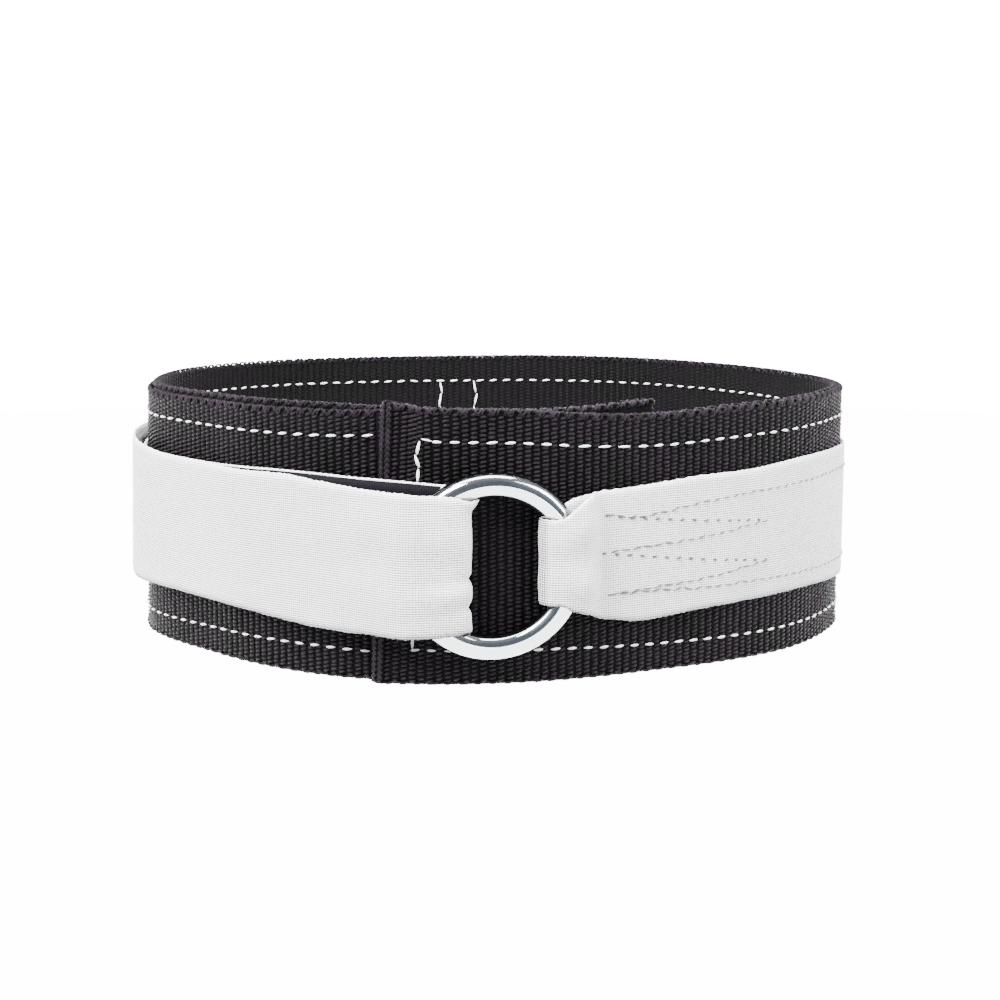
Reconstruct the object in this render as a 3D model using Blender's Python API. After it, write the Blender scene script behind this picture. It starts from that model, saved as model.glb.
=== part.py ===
"""A webbing lifting belt, closed in a loop and standing on its lower edge.

Two plies of wide black webbing lap over each other at the front. A white strap is sewn round the
outside. It holds a steel ring in a loop on the right of the front, and on the left it comes forward
through the ring and goes back over itself as a tail, held by touch tape.

Metres, +Z up. The front with the ring faces -Y. The origin is in the middle of the footprint, on the
ground. Angles are in degrees round the loop's middle, anticlockwise from +X as seen from above.
"""

from collections import namedtuple
from math import atan2, cos, degrees, hypot, pi, radians, sin

import bmesh
import bpy

# Webbing, strap and tape as they are cut
BELT_WIDTH = 0.1016
PLY_THICKNESS = 0.0021
STRAP_THICKNESS = 0.0013
TAPE_THICKNESS = 0.0012
LAYER_GAP = 0.0003
SEAT_GAP = 0.00035

# The ring
RING_OUTER = 0.0699
RING_INNER = 0.0508
RING_CENTRE = (-0.0026, -0.1414, 0.0464)
RING_TURN = 9.7
RING_SIDES = 40
WIRE_SIDES = 12

# Angles where things end
STEP = 6
HEM = 252
LAP_END = 658
HEM_TURNED_IN = 5.3
INNER_PLY_START = 258
INNER_PLY_END = 652
UNDER_RUN = (310, 306, 300, 294, 288, 282, 279.5)
CLIMB_TOP = 609
BEHIND_LEFT_WIRE = (CLIMB_TOP, 612, 615, 618, 621, 623.5)
LOOP_TAPE_START = 504
CLIMB_FOOT = 597
TAIL_SEATED = 596
TAIL_END = 510

# The fold of the outer ply at each free end
FOLD_CENTRE = -0.8
FOLD_BEAD = 0.00025
FOLD_GROOVE = 2.2
FOLD_FACETS = 5
HEM_SLANT = 0.0045

WIRE = (RING_OUTER - RING_INNER) / 4
RING_RADIUS = (RING_OUTER + RING_INNER) / 4
PLY_SPACING = PLY_THICKNESS + LAYER_GAP

# Heights of each layer's middle above what the strap lies on
BASE_LIFT = SEAT_GAP + STRAP_THICKNESS / 2
OVER_LIFT = BASE_LIFT + STRAP_THICKNESS + LAYER_GAP
LOOP_LIFT = BASE_LIFT + STRAP_THICKNESS / 2 + LAYER_GAP + TAPE_THICKNESS / 2
HOOK_LIFT = LOOP_LIFT + TAPE_THICKNESS + LAYER_GAP
TAIL_LIFT = HOOK_LIFT + TAPE_THICKNESS / 2 + LAYER_GAP + STRAP_THICKNESS / 2
WIRE_CLEAR = WIRE + LAYER_GAP + STRAP_THICKNESS / 2 + 0.00005

# The outer ply round the loop: radius of its outer face at the ground, how far its upper edge leans
# in, how high that edge is, and how far the inner ply's edge stands above it
Wall = namedtuple("Wall", "angle radius lean top rise")
WALL_ROWS = (
    Wall(252, 0.1414, 0.0000, 0.1055, 0.0000),
    Wall(258, 0.1391, 0.0000, 0.1038, 0.0000),
    Wall(272, 0.1341, 0.0000, 0.1029, 0.0000),
    Wall(286, 0.1303, 0.0000, 0.1004, 0.0000),
    Wall(298, 0.1293, 0.0000, 0.0994, 0.0000),
    Wall(311, 0.1336, 0.0000, 0.1005, 0.0004),
    Wall(326, 0.1404, 0.0000, 0.1012, 0.0004),
    Wall(340, 0.1442, 0.0000, 0.1016, 0.0004),
    Wall(350, 0.1463, 0.0000, 0.1016, 0.0004),
    Wall(363, 0.1438, 0.0000, 0.1016, 0.0004),
    Wall(380, 0.1382, 0.0000, 0.1016, 0.0004),
    Wall(400, 0.1350, 0.0000, 0.1016, 0.0004),
    Wall(420, 0.1355, 0.0000, 0.1016, 0.0004),
    Wall(440, 0.1345, 0.0000, 0.1016, 0.0004),
    Wall(460, 0.1316, 0.0000, 0.1016, 0.0004),
    Wall(480, 0.1360, 0.0000, 0.1016, 0.0006),
    Wall(500, 0.1466, 0.0012, 0.1016, 0.0010),
    Wall(520, 0.1528, 0.0025, 0.1016, 0.0015),
    Wall(540, 0.1535, 0.0030, 0.1016, 0.0020),
    Wall(558, 0.1530, 0.0028, 0.1016, 0.0024),
    Wall(567, 0.1484, 0.0020, 0.1016, 0.0024),
    Wall(575, 0.1438, 0.0012, 0.1016, 0.0024),
    Wall(587, 0.1414, 0.0004, 0.1016, 0.0024),
    Wall(600, 0.1395, 0.0000, 0.1018, 0.0024),
    Wall(606, 0.1383, 0.0000, 0.1020, 0.0020),
    Wall(612, 0.1363, 0.0000, 0.1024, 0.0010),
)

# The lap inside the hem: how far its face stands inside the outer lap's, and how high its edge is
Lap = namedtuple("Lap", "angle depth top")
LAP_ROWS = (
    Lap(612, 0.0051, 0.1024),
    Lap(618, 0.0051, 0.1025),
    Lap(636, 0.0051, 0.1022),
    Lap(645, 0.0052, 0.1026),
    Lap(651, 0.0066, 0.1031),
    Lap(658, 0.0098, 0.1036),
)

# Lower and upper edge of the strap where it lies on the belt, and of its under run and its tail
Edge = namedtuple("Edge", "angle bottom top")
UNDER_ROWS = (
    Edge(279, 0.0320, 0.0636),
    Edge(282, 0.0302, 0.0652),
    Edge(288, 0.0262, 0.0690),
    Edge(300, 0.0228, 0.0752),
    Edge(310, 0.0220, 0.0780),
)
BASE_ROWS = (
    Edge(286, 0.0235, 0.0738),
    Edge(294, 0.0213, 0.0740),
    Edge(304, 0.0226, 0.0756),
    Edge(314, 0.0236, 0.0772),
    Edge(330, 0.0240, 0.0786),
    Edge(347, 0.0214, 0.0778),
    Edge(380, 0.0210, 0.0776),
    Edge(480, 0.0208, 0.0774),
    Edge(600, 0.0208, 0.0772),
    Edge(612, 0.0210, 0.0762),
    Edge(624, 0.0225, 0.0735),
)
TAIL_ROWS = (
    Edge(510, 0.0250, 0.0806),
    Edge(565, 0.0256, 0.0812),
    Edge(578, 0.0240, 0.0801),
    Edge(588, 0.0227, 0.0790),
    Edge(599, 0.0216, 0.0778),
    Edge(612, 0.0206, 0.0752),
)

# The strap through the ring: place along the ring's middle plane and in front of it (minus) or
# behind it (plus), lower and upper edge, and how deep the gathers are
Pass = namedtuple("Pass", "along behind bottom top gather")
RIGHT_TURN = Pass(0.0240, 0.0000, 0.0320, 0.0636, 0.0003)
RIGHT_FRONT = (
    Pass(0.0250, -0.0059, 0.0318, 0.0640, 0.0004),
    Pass(0.0292, -0.0060, 0.0300, 0.0690, 0.0007),
    Pass(0.0332, -0.0052, 0.0288, 0.0738, 0.0010),
    Pass(0.0360, -0.0020, 0.0275, 0.0745, 0.0010),
    Pass(0.0378, 0.0030, 0.0260, 0.0742, 0.0007),
)
LEFT_TURN = Pass(-0.0102, 0.0000, 0.0226, 0.0700, -0.0003)
LEFT_FRONT = (
    Pass(-0.0120, -0.0058, 0.0224, 0.0706, -0.0006),
    Pass(-0.0200, -0.0059, 0.0208, 0.0732, -0.0008),
    Pass(-0.0260, -0.0058, 0.0202, 0.0740, -0.0006),
    Pass(-0.0300, -0.0058, 0.0203, 0.0746, -0.0004),
)
TURN_FACETS = 6
RIGHT_TIP = 0.0062
LEFT_TIP = 0.0030

# A section across the plies has its corners cut; the strap has rows across it that take the gathers
PLY_CHAMFER = 0.0005
STRAP_ROWS = 5
STRAP_PLEATS = 2

# How the tapes sit inside the strap's edges
LOOP_TAPE_MARGIN = 0.0012
HOOK_TAPE_MARGIN = 0.0020

BLACK = (0.018, 0.017, 0.019)
TAPE_BLACK = (0.010, 0.010, 0.012)
WHITE = (0.80, 0.79, 0.80)
STEEL = (0.70, 0.71, 0.73)

Station = namedtuple("Station", "x y bottom top top_dx top_dy gather")


def smooth(rows, column, angle):
    """Value of a column at an angle, on a smooth curve through the rows."""
    last = len(rows) - 1
    angle = min(max(angle, rows[0].angle), rows[last].angle)
    i = max(k for k in range(last) if rows[k].angle <= angle)
    a, b = rows[i], rows[i + 1]
    before, after = rows[max(i - 1, 0)], rows[min(i + 2, last)]
    value = [getattr(row, column) for row in (before, a, b, after)]
    run = b.angle - a.angle
    start = (value[2] - value[0]) / (b.angle - before.angle) * run
    end = (value[3] - value[1]) / (after.angle - a.angle) * run
    t = (angle - a.angle) / run
    return (
        (2 * t**3 - 3 * t**2 + 1) * value[1]
        + (t**3 - 2 * t**2 + t) * start
        + (3 * t**2 - 2 * t**3) * value[2]
        + (t**3 - t**2) * end
    )


def wall_radius(angle):
    """Radius of the belt's outer face. Past one turn it is the lap inside the hem."""
    if angle <= HEM + 360:
        return smooth(WALL_ROWS, "radius", angle)
    return smooth(WALL_ROWS, "radius", angle - 360) - smooth(LAP_ROWS, "depth", angle)


def seat_radius(angle):
    """Radius of what the strap lies on: the belt, with a ramp that climbs the hem."""
    if angle <= CLIMB_FOOT:
        return wall_radius(angle)
    ramp = CLIMB_TOP - CLIMB_FOOT
    if angle < CLIMB_TOP:
        share = (angle - CLIMB_FOOT) / ramp
        return wall_radius(CLIMB_FOOT) * (1 - share) + (wall_radius(HEM) + FOLD_BEAD) * share
    return wall_radius(angle - 360) + FOLD_BEAD * max(0.0, 1 - (angle - CLIMB_TOP) / ramp)


def place(radius_at, angle, lift):
    """Point that stands off a round curve by a lift, along the curve's own normal."""
    small = 0.5

    def point(at):
        return (radius_at(at) * cos(radians(at)), radius_at(at) * sin(radians(at)))

    x, y = point(angle)
    ahead, behind = point(angle + small), point(angle - small)
    along = (ahead[0] - behind[0], ahead[1] - behind[1])
    size = hypot(*along)
    return (x + lift * along[1] / size, y - lift * along[0] / size)


def lean_at(x, y, angle):
    """How the upper edge stands in from the lower one, at full belt width, as a plan vector."""
    if angle > WALL_ROWS[-1].angle:
        return (0.0, 0.0)
    lean = smooth(WALL_ROWS, "lean", angle)
    size = hypot(x, y)
    return (-lean * x / size, -lean * y / size)


def angles(start, end):
    """Shared angles, so that the facets of neighbouring layers stay parallel, and both ends."""
    low, high = min(start, end), max(start, end)
    inside = [a for a in range(int(low // STEP) * STEP, int(high) + STEP, STEP) if low + 1 < a < high - 1]
    run = [low] + inside + [high]
    return run if start < end else run[::-1]


def belt_station(angle, depth, top, slant=(0.0, 0.0)):
    """Station on a ply whose middle is at a depth inside the belt's outer face."""
    x, y = place(wall_radius, angle, -depth)
    lean = lean_at(x, y, angle)
    return Station(x, y, 0.0, top, lean[0] + slant[0], lean[1] + slant[1], 0.0)


def belt_top(angle):
    """Height of the outer ply's upper edge."""
    if angle <= HEM + 360:
        return smooth(WALL_ROWS, "top", angle)
    return smooth(LAP_ROWS, "top", angle)


def inner_top(angle):
    """Height of the inner ply's upper edge."""
    if angle <= HEM + 360:
        return belt_top(angle) + smooth(WALL_ROWS, "rise", angle)
    return belt_top(angle)


def fold(angle, towards, slant):
    """Half round that takes the outer ply from its outer face to the inside, at a free end."""
    outer, inner = PLY_THICKNESS / 2, PLY_THICKNESS / 2 + PLY_SPACING
    centre = place(wall_radius, angle - towards * FOLD_CENTRE, -(outer + inner) / 2)
    face = place(wall_radius, angle - towards * FOLD_CENTRE, 0.0)
    out = (face[0] - centre[0], face[1] - centre[1])
    size = hypot(*out)
    out = (out[0] / size, out[1] / size)
    ahead = (-out[1] * towards, out[0] * towards)
    radius = PLY_SPACING / 2 + FOLD_BEAD
    stations = []
    for k in range(FOLD_FACETS + 1):
        turn = pi / 2 - pi * k / FOLD_FACETS
        x = centre[0] + radius * (cos(turn) * ahead[0] + sin(turn) * out[0])
        y = centre[1] + radius * (cos(turn) * ahead[1] + sin(turn) * out[1])
        stations.append(Station(x, y, 0.0, belt_top(angle), slant[0], slant[1], 0.0))
    return stations


def outer_ply_stations():
    """From the edge turned in at the hem, round the loop, to the edge turned in at the lap's end."""
    outer, inner = PLY_THICKNESS / 2, PLY_THICKNESS / 2 + PLY_SPACING
    here, ahead = place(wall_radius, HEM + 1, 0.0), place(wall_radius, HEM + 3, 0.0)
    size = hypot(ahead[0] - here[0], ahead[1] - here[1])
    slant = ((ahead[0] - here[0]) / size * HEM_SLANT, (ahead[1] - here[1]) / size * HEM_SLANT)
    groove = HEM + FOLD_GROOVE
    stations = [
        belt_station(HEM + HEM_TURNED_IN, inner, belt_top(HEM + HEM_TURNED_IN)),
        belt_station(groove, inner, belt_top(groove), slant),
    ]
    stations += reversed(fold(HEM, -1, slant))
    stations.append(belt_station(groove, outer, belt_top(groove), slant))
    for angle in angles(HEM + STEP, LAP_END - STEP):
        stations.append(belt_station(angle, outer, belt_top(angle)))
    groove = LAP_END - FOLD_GROOVE
    stations.append(belt_station(groove, outer, belt_top(groove)))
    stations += fold(LAP_END, 1, (0.0, 0.0))
    stations.append(belt_station(groove, inner, belt_top(groove)))
    stations.append(belt_station(LAP_END - HEM_TURNED_IN, inner, belt_top(LAP_END)))
    return stations


def inner_ply_stations():
    """Inside the outer ply, between the two edges that are turned in."""
    depth = PLY_THICKNESS / 2 + PLY_SPACING
    return [
        belt_station(angle, depth, inner_top(angle)) for angle in angles(INNER_PLY_START, INNER_PLY_END)
    ]


def strap_station(angle, lift, rows):
    """Station on the strap where it lies at a lift over the belt."""
    x, y = place(seat_radius, angle, lift)
    lean = lean_at(x, y, angle)
    return Station(x, y, smooth(rows, "bottom", angle), smooth(rows, "top", angle), lean[0], lean[1], 0.0)


def ring_point(along, behind):
    """Plan point from a place along the ring's middle plane and behind it."""
    c, s = cos(radians(RING_TURN)), sin(radians(RING_TURN))
    return (RING_CENTRE[0] + along * c - behind * s, RING_CENTRE[1] + along * s + behind * c)


def ring_station(row):
    """Station on the strap where it passes the ring."""
    x, y = ring_point(row.along, row.behind)
    return Station(x, y, row.bottom, row.top, 0.0, 0.0, row.gather)


def ring_turn(row, reach, behind, front):
    """Half round through the ring, from behind the wire to the front of it."""
    stations = []
    middle, half = (behind + front) / 2, (behind - front) / 2
    for k in range(1, TURN_FACETS):
        turn = pi / 2 - pi * k / TURN_FACETS
        stations.append(
            ring_station(row._replace(along=row.along + reach * cos(turn), behind=middle + half * sin(turn)))
        )
    return stations


def ring_place(x, y):
    """Place along the ring's middle plane and behind it, of a plan point."""
    c, s = cos(radians(RING_TURN)), sin(radians(RING_TURN))
    dx, dy = x - RING_CENTRE[0], y - RING_CENTRE[1]
    return (dx * c + dy * s, dy * c - dx * s)


def tail_stations():
    """The tail, from the ring's left wire straight to the belt and round to its end."""
    left_wire = ring_point(-RING_RADIUS, 0.0)
    seated = place(seat_radius, TAIL_SEATED, TAIL_LIFT)
    run = (seated[0] - left_wire[0], seated[1] - left_wire[1])
    size = hypot(*run)
    off_wire = (left_wire[0] - WIRE_CLEAR * run[1] / size, left_wire[1] + WIRE_CLEAR * run[0] / size)
    stations = [ring_station(row) for row in LEFT_FRONT]
    for share, gather in ((0.0, -0.0004), (0.25, -0.0006), (0.5, -0.0003), (0.75, 0.0)):
        x = off_wire[0] * (1 - share) + seated[0] * share
        y = off_wire[1] * (1 - share) + seated[1] * share
        angle = degrees(atan2(y, x)) % 360 + 360
        bottom, top = smooth(TAIL_ROWS, "bottom", angle), smooth(TAIL_ROWS, "top", angle)
        stations.append(Station(x, y, bottom, top, 0.0, 0.0, gather))
    for angle in angles(TAIL_SEATED, TAIL_END):
        stations.append(strap_station(angle, TAIL_LIFT, TAIL_ROWS))
    return stations


def strap_stations():
    """The whole strap, from the end of its under run to the end of its tail."""
    stations = [strap_station(angle, BASE_LIFT, UNDER_ROWS) for angle in UNDER_RUN]
    behind = ring_place(stations[-1].x, stations[-1].y)[1]
    stations += ring_turn(RIGHT_TURN, -RIGHT_TIP, behind, RIGHT_FRONT[0].behind)
    stations += [ring_station(row) for row in RIGHT_FRONT]
    stations += [strap_station(angle, OVER_LIFT, BASE_ROWS) for angle in (286.5, 288, 294, 300, 306, 311)]
    round_belt = angles(314, CLIMB_TOP - STEP / 2) + list(BEHIND_LEFT_WIRE)
    stations += [strap_station(angle, BASE_LIFT, BASE_ROWS) for angle in round_belt]
    behind = ring_place(stations[-1].x, stations[-1].y)[1]
    stations += ring_turn(LEFT_TURN, LEFT_TIP, behind, LEFT_FRONT[0].behind)
    stations += tail_stations()
    return stations


def loop_tape_stations():
    """The soft tape on the strap, from behind the tail's end to behind the ring's left wire."""
    stations = []
    for angle in angles(LOOP_TAPE_START, CLIMB_TOP - STEP / 2) + list(BEHIND_LEFT_WIRE[:-1]):
        station = strap_station(angle, LOOP_LIFT, BASE_ROWS)
        bottom, top = station.bottom + LOOP_TAPE_MARGIN, station.top - LOOP_TAPE_MARGIN
        stations.append(station._replace(bottom=bottom, top=top))
    return stations


def hook_tape_stations():
    """The hooked tape on the inside of the tail."""
    whole = tail_stations()
    normals = side_normals(whole)
    apart = TAIL_LIFT - HOOK_LIFT
    first = len(LEFT_FRONT) + 2
    stations = []
    for station, normal in list(zip(whole, normals))[first:-1]:
        stations.append(
            station._replace(
                x=station.x + normal[0] * apart,
                y=station.y + normal[1] * apart,
                bottom=station.bottom + HOOK_TAPE_MARGIN,
                top=station.top - HOOK_TAPE_MARGIN,
                gather=0.0,
            )
        )
    return stations


def side_normals(stations):
    """For each station, the normal on the right of the path, mitred so that thickness holds."""
    steps = []
    for a, b in zip(stations, stations[1:]):
        size = hypot(b.x - a.x, b.y - a.y)
        steps.append(((b.x - a.x) / size, (b.y - a.y) / size))
    normals = []
    for before, after in zip([steps[0]] + steps, steps + [steps[-1]]):
        mean = (before[0] + after[0], before[1] + after[1])
        size = hypot(*mean)
        mean = (mean[0] / size, mean[1] / size)
        stretch = 1 / (mean[0] * after[0] + mean[1] * after[1])
        normals.append((mean[1] * stretch, -mean[0] * stretch))
    return normals


def ply_section(height):
    """Section across a ply with its corners cut, as (across, up) pairs."""
    half, cut = PLY_THICKNESS / 2, PLY_CHAMFER
    right = [(half - cut, 0.0), (half, cut), (half, height - cut), (half - cut, height)]
    return right + [(-across, up) for across, up in reversed(right)]


def band_section(thickness, rows, gather):
    """Function that gives the section across a flat band with rows across its width."""

    def section(height, depth):
        front, back = [], []
        for row in range(rows):
            share = row / (rows - 1)
            pleat = depth * gather * (0.5 - 0.5 * cos(2 * pi * STRAP_PLEATS * share))
            front.append((pleat + thickness / 2, height * share))
            back.append((pleat - thickness / 2, height * share))
        return front + back[::-1]

    return section


def sweep(name, stations, section, material, parent):
    """Closed band that follows its stations."""
    mesh = bmesh.new()
    rings = []
    for station, normal in zip(stations, side_normals(stations)):
        ring = []
        for across, up in section(station.top - station.bottom, station.gather):
            z = station.bottom + up
            share = z / BELT_WIDTH
            x = station.x + normal[0] * across + station.top_dx * share
            y = station.y + normal[1] * across + station.top_dy * share
            ring.append(mesh.verts.new((x, y, z)))
        rings.append(ring)
    for a, b in zip(rings, rings[1:]):
        for k in range(len(a)):
            nxt = (k + 1) % len(a)
            mesh.faces.new((a[k], a[nxt], b[nxt], b[k]))
    mesh.faces.new(rings[0])
    mesh.faces.new(rings[-1][::-1])
    bmesh.ops.recalc_face_normals(mesh, faces=mesh.faces)
    data = bpy.data.meshes.new(name)
    mesh.to_mesh(data)
    mesh.free()
    data.shade_smooth()
    data.set_sharp_from_angle(angle=radians(40))
    data.materials.append(material)
    band = bpy.data.objects.new(name, data)
    bpy.context.collection.objects.link(band)
    band.parent = parent
    return band


def make_material(name, colour, roughness, metallic):
    """Plain surface with one colour."""
    material = bpy.data.materials.new(name)
    material.use_nodes = True
    surface = material.node_tree.nodes["Principled BSDF"]
    surface.inputs["Base Color"].default_value = (*colour, 1.0)
    surface.inputs["Roughness"].default_value = roughness
    surface.inputs["Metallic"].default_value = metallic
    return material


def make_ring(material, parent):
    """Round wire ring, standing with its hole facing the front."""
    bpy.ops.mesh.primitive_torus_add(
        major_radius=RING_RADIUS,
        minor_radius=WIRE,
        major_segments=RING_SIDES,
        minor_segments=WIRE_SIDES,
        location=RING_CENTRE,
        rotation=(pi / 2, 0.0, radians(RING_TURN)),
    )
    ring = bpy.context.object
    ring.name = "ring"
    ring.data.name = "ring"
    ring.data.shade_smooth()
    ring.data.materials.append(material)
    ring.parent = parent
    return ring


def stand_on_origin(parent, pieces):
    """Move the empty so that the middle of the footprint is at the origin."""
    bpy.context.view_layer.update()
    corners = [piece.matrix_world @ vertex.co for piece in pieces for vertex in piece.data.vertices]
    for axis in (0, 1):
        values = [corner[axis] for corner in corners]
        parent.location[axis] = -(min(values) + max(values)) / 2


def build():
    for thing in list(bpy.data.objects):
        bpy.data.objects.remove(thing, do_unlink=True)
    belt = bpy.data.objects.new("belt", None)
    bpy.context.collection.objects.link(belt)
    webbing = make_material("black_webbing", BLACK, 0.75, 0.0)
    ribbon = make_material("white_strap", WHITE, 0.60, 0.0)
    tape = make_material("black_tape", TAPE_BLACK, 0.85, 0.0)
    steel = make_material("plated_steel", STEEL, 0.20, 1.0)

    def ply(height, _depth):
        return ply_section(height)

    strap = band_section(STRAP_THICKNESS, STRAP_ROWS, 1.0)
    flat = band_section(TAPE_THICKNESS, 2, 0.0)
    pieces = [
        sweep("outer_ply", outer_ply_stations(), ply, webbing, belt),
        sweep("inner_ply", inner_ply_stations(), ply, webbing, belt),
        sweep("strap", strap_stations(), strap, ribbon, belt),
        sweep("loop_tape", loop_tape_stations(), flat, tape, belt),
        sweep("hook_tape", hook_tape_stations(), flat, tape, belt),
        make_ring(steel, belt),
    ]
    stand_on_origin(belt, pieces)


build()
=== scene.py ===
"""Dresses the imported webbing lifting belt: ribbed black webbing with bound edges and stitched rows,
white strap, touch tape and steel ring, on a pale studio floor.

Metres, +Z up, the front with the ring faces -Y. The plan that the paths are drawn in has its origin in
the loop's middle, and the frame's ring says where that is. Points in that plan are complex numbers,
x + y i. Angles are in degrees round its origin, anticlockwise from +X as seen from above.
"""

from cmath import phase, rect
from collections import namedtuple
from functools import partial
from math import atan2, cos, degrees, hypot, pi, radians, sin

import bpy
import numpy as np
from bpy.props import FloatProperty, FloatVectorProperty, IntProperty, PointerProperty
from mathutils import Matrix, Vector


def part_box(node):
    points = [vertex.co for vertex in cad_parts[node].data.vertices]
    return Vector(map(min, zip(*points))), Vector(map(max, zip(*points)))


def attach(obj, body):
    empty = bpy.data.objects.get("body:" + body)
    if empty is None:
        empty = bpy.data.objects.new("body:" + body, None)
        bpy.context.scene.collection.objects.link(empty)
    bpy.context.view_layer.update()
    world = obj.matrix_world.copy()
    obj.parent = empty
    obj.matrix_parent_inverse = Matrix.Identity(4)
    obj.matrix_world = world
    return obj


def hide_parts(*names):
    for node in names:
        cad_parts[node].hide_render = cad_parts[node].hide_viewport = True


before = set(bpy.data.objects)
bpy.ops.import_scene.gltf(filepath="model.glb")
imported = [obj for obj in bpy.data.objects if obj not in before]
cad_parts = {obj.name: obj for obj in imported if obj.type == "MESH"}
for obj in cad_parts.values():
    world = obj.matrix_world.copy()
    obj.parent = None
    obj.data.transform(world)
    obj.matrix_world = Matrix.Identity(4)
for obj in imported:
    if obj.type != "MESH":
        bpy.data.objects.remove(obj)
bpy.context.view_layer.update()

bl_info = {
    "name": "Webbing lifting belt",
    "version": (1, 0, 0),
    "blender": (4, 5, 0),
    "location": "3D View > Sidebar > Belt",
    "description": "Makes the webbing, strap, tapes, stitches and ring of a lifting belt",
    "category": "Object",
}

# Webbing, strap and tape as they are cut
BELT_WIDTH = 0.1016
PLY_THICKNESS = 0.0021
STRAP_THICKNESS = 0.0013
TAPE_THICKNESS = 0.0012
LAYER_GAP = 0.0003
SEAT_GAP = 0.00035

# The ring
RING_OUTER = 0.0699
RING_INNER = 0.0508
RING_MIDDLE = complex(-0.0026, -0.1414)
RING_HEIGHT = 0.0464
RING_TURN = 9.7
STRAP_PLEATS = 2

# Angles where things end
STEP = 6
HEM = 252
LAP_END = 658
HEM_TURNED_IN = 5.3
INNER_PLY_START = 258
INNER_PLY_END = 652
UNDER_RUN = (310, 306, 300, 294, 288, 282, 279.5)
OVER_RUN = (286.5, 288, 294, 300, 306, 311)
BASE_START = 314
CLIMB_TOP = 609
BEHIND_LEFT_WIRE = (CLIMB_TOP, 612, 615, 618, 621, 623.5)
LOOP_TAPE_START = 504
CLIMB_FOOT = 597
TAIL_SEATED = 596
TAIL_END = 510
HOOK_TAPE_END = 567

# The fold of the outer ply at each free end
FOLD_CENTRE = -0.8
FOLD_BEAD = 0.00025
FOLD_GROOVE = 2.2
FOLD_FACETS = 5
HEM_SLANT = 0.0045

WIRE = (RING_OUTER - RING_INNER) / 4
RING_RADIUS = (RING_OUTER + RING_INNER) / 4
RING_WAY = rect(1.0, radians(RING_TURN))
PLY_SPACING = PLY_THICKNESS + LAYER_GAP

# Heights of each layer's middle above what the strap lies on
BASE_LIFT = SEAT_GAP + STRAP_THICKNESS / 2
OVER_LIFT = BASE_LIFT + STRAP_THICKNESS + LAYER_GAP
LOOP_LIFT = BASE_LIFT + STRAP_THICKNESS / 2 + LAYER_GAP + TAPE_THICKNESS / 2
HOOK_LIFT = LOOP_LIFT + TAPE_THICKNESS + LAYER_GAP
TAIL_LIFT = HOOK_LIFT + TAPE_THICKNESS / 2 + LAYER_GAP + STRAP_THICKNESS / 2
WIRE_CLEAR = WIRE + LAYER_GAP + STRAP_THICKNESS / 2 + 0.00005


def table(columns, *rows):
    """Rows of numbers with named columns."""
    kind = namedtuple("Row", columns)
    return [kind(*row) for row in rows]


# The outer ply round the loop: radius of its outer face at the ground, how far its upper edge leans
# in, how high that edge is, and how far the inner ply's edge stands above it
WALL_ROWS = table(
    "angle radius lean top rise",
    (252, 0.1414, 0.0000, 0.1055, 0.0000), (258, 0.1391, 0.0000, 0.1038, 0.0000),
    (272, 0.1341, 0.0000, 0.1029, 0.0000), (286, 0.1303, 0.0000, 0.1004, 0.0000),
    (298, 0.1293, 0.0000, 0.0994, 0.0000), (311, 0.1336, 0.0000, 0.1005, 0.0004),
    (326, 0.1408, 0.0000, 0.1012, 0.0004), (340, 0.1451, 0.0000, 0.1016, 0.0004),
    (350, 0.1474, 0.0000, 0.1016, 0.0004), (363, 0.1448, 0.0000, 0.1016, 0.0004),
    (380, 0.1382, 0.0000, 0.1016, 0.0004), (400, 0.1350, 0.0000, 0.1016, 0.0004),
    (420, 0.1355, 0.0000, 0.1016, 0.0004), (440, 0.1345, 0.0000, 0.1016, 0.0004),
    (460, 0.1316, 0.0000, 0.1016, 0.0004), (480, 0.1360, 0.0000, 0.1016, 0.0006),
    (500, 0.1466, 0.0012, 0.1016, 0.0010), (520, 0.1535, 0.0025, 0.1016, 0.0015),
    (540, 0.1543, 0.0030, 0.1016, 0.0020), (558, 0.1536, 0.0028, 0.1016, 0.0024),
    (567, 0.1484, 0.0020, 0.1016, 0.0024), (575, 0.1438, 0.0012, 0.1016, 0.0024),
    (587, 0.1414, 0.0004, 0.1016, 0.0024), (600, 0.1395, 0.0000, 0.1018, 0.0024),
    (606, 0.1383, 0.0000, 0.1020, 0.0020), (612, 0.1363, 0.0000, 0.1024, 0.0010),
)

# The lap inside the hem: how far its face stands inside the outer lap's, and how high its edge is
LAP_ROWS = table(
    "angle depth top",
    (612, 0.0051, 0.1024), (618, 0.0051, 0.1025), (636, 0.0051, 0.1022), (645, 0.0052, 0.1026),
    (651, 0.0066, 0.1031), (658, 0.0098, 0.1036),
)

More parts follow.
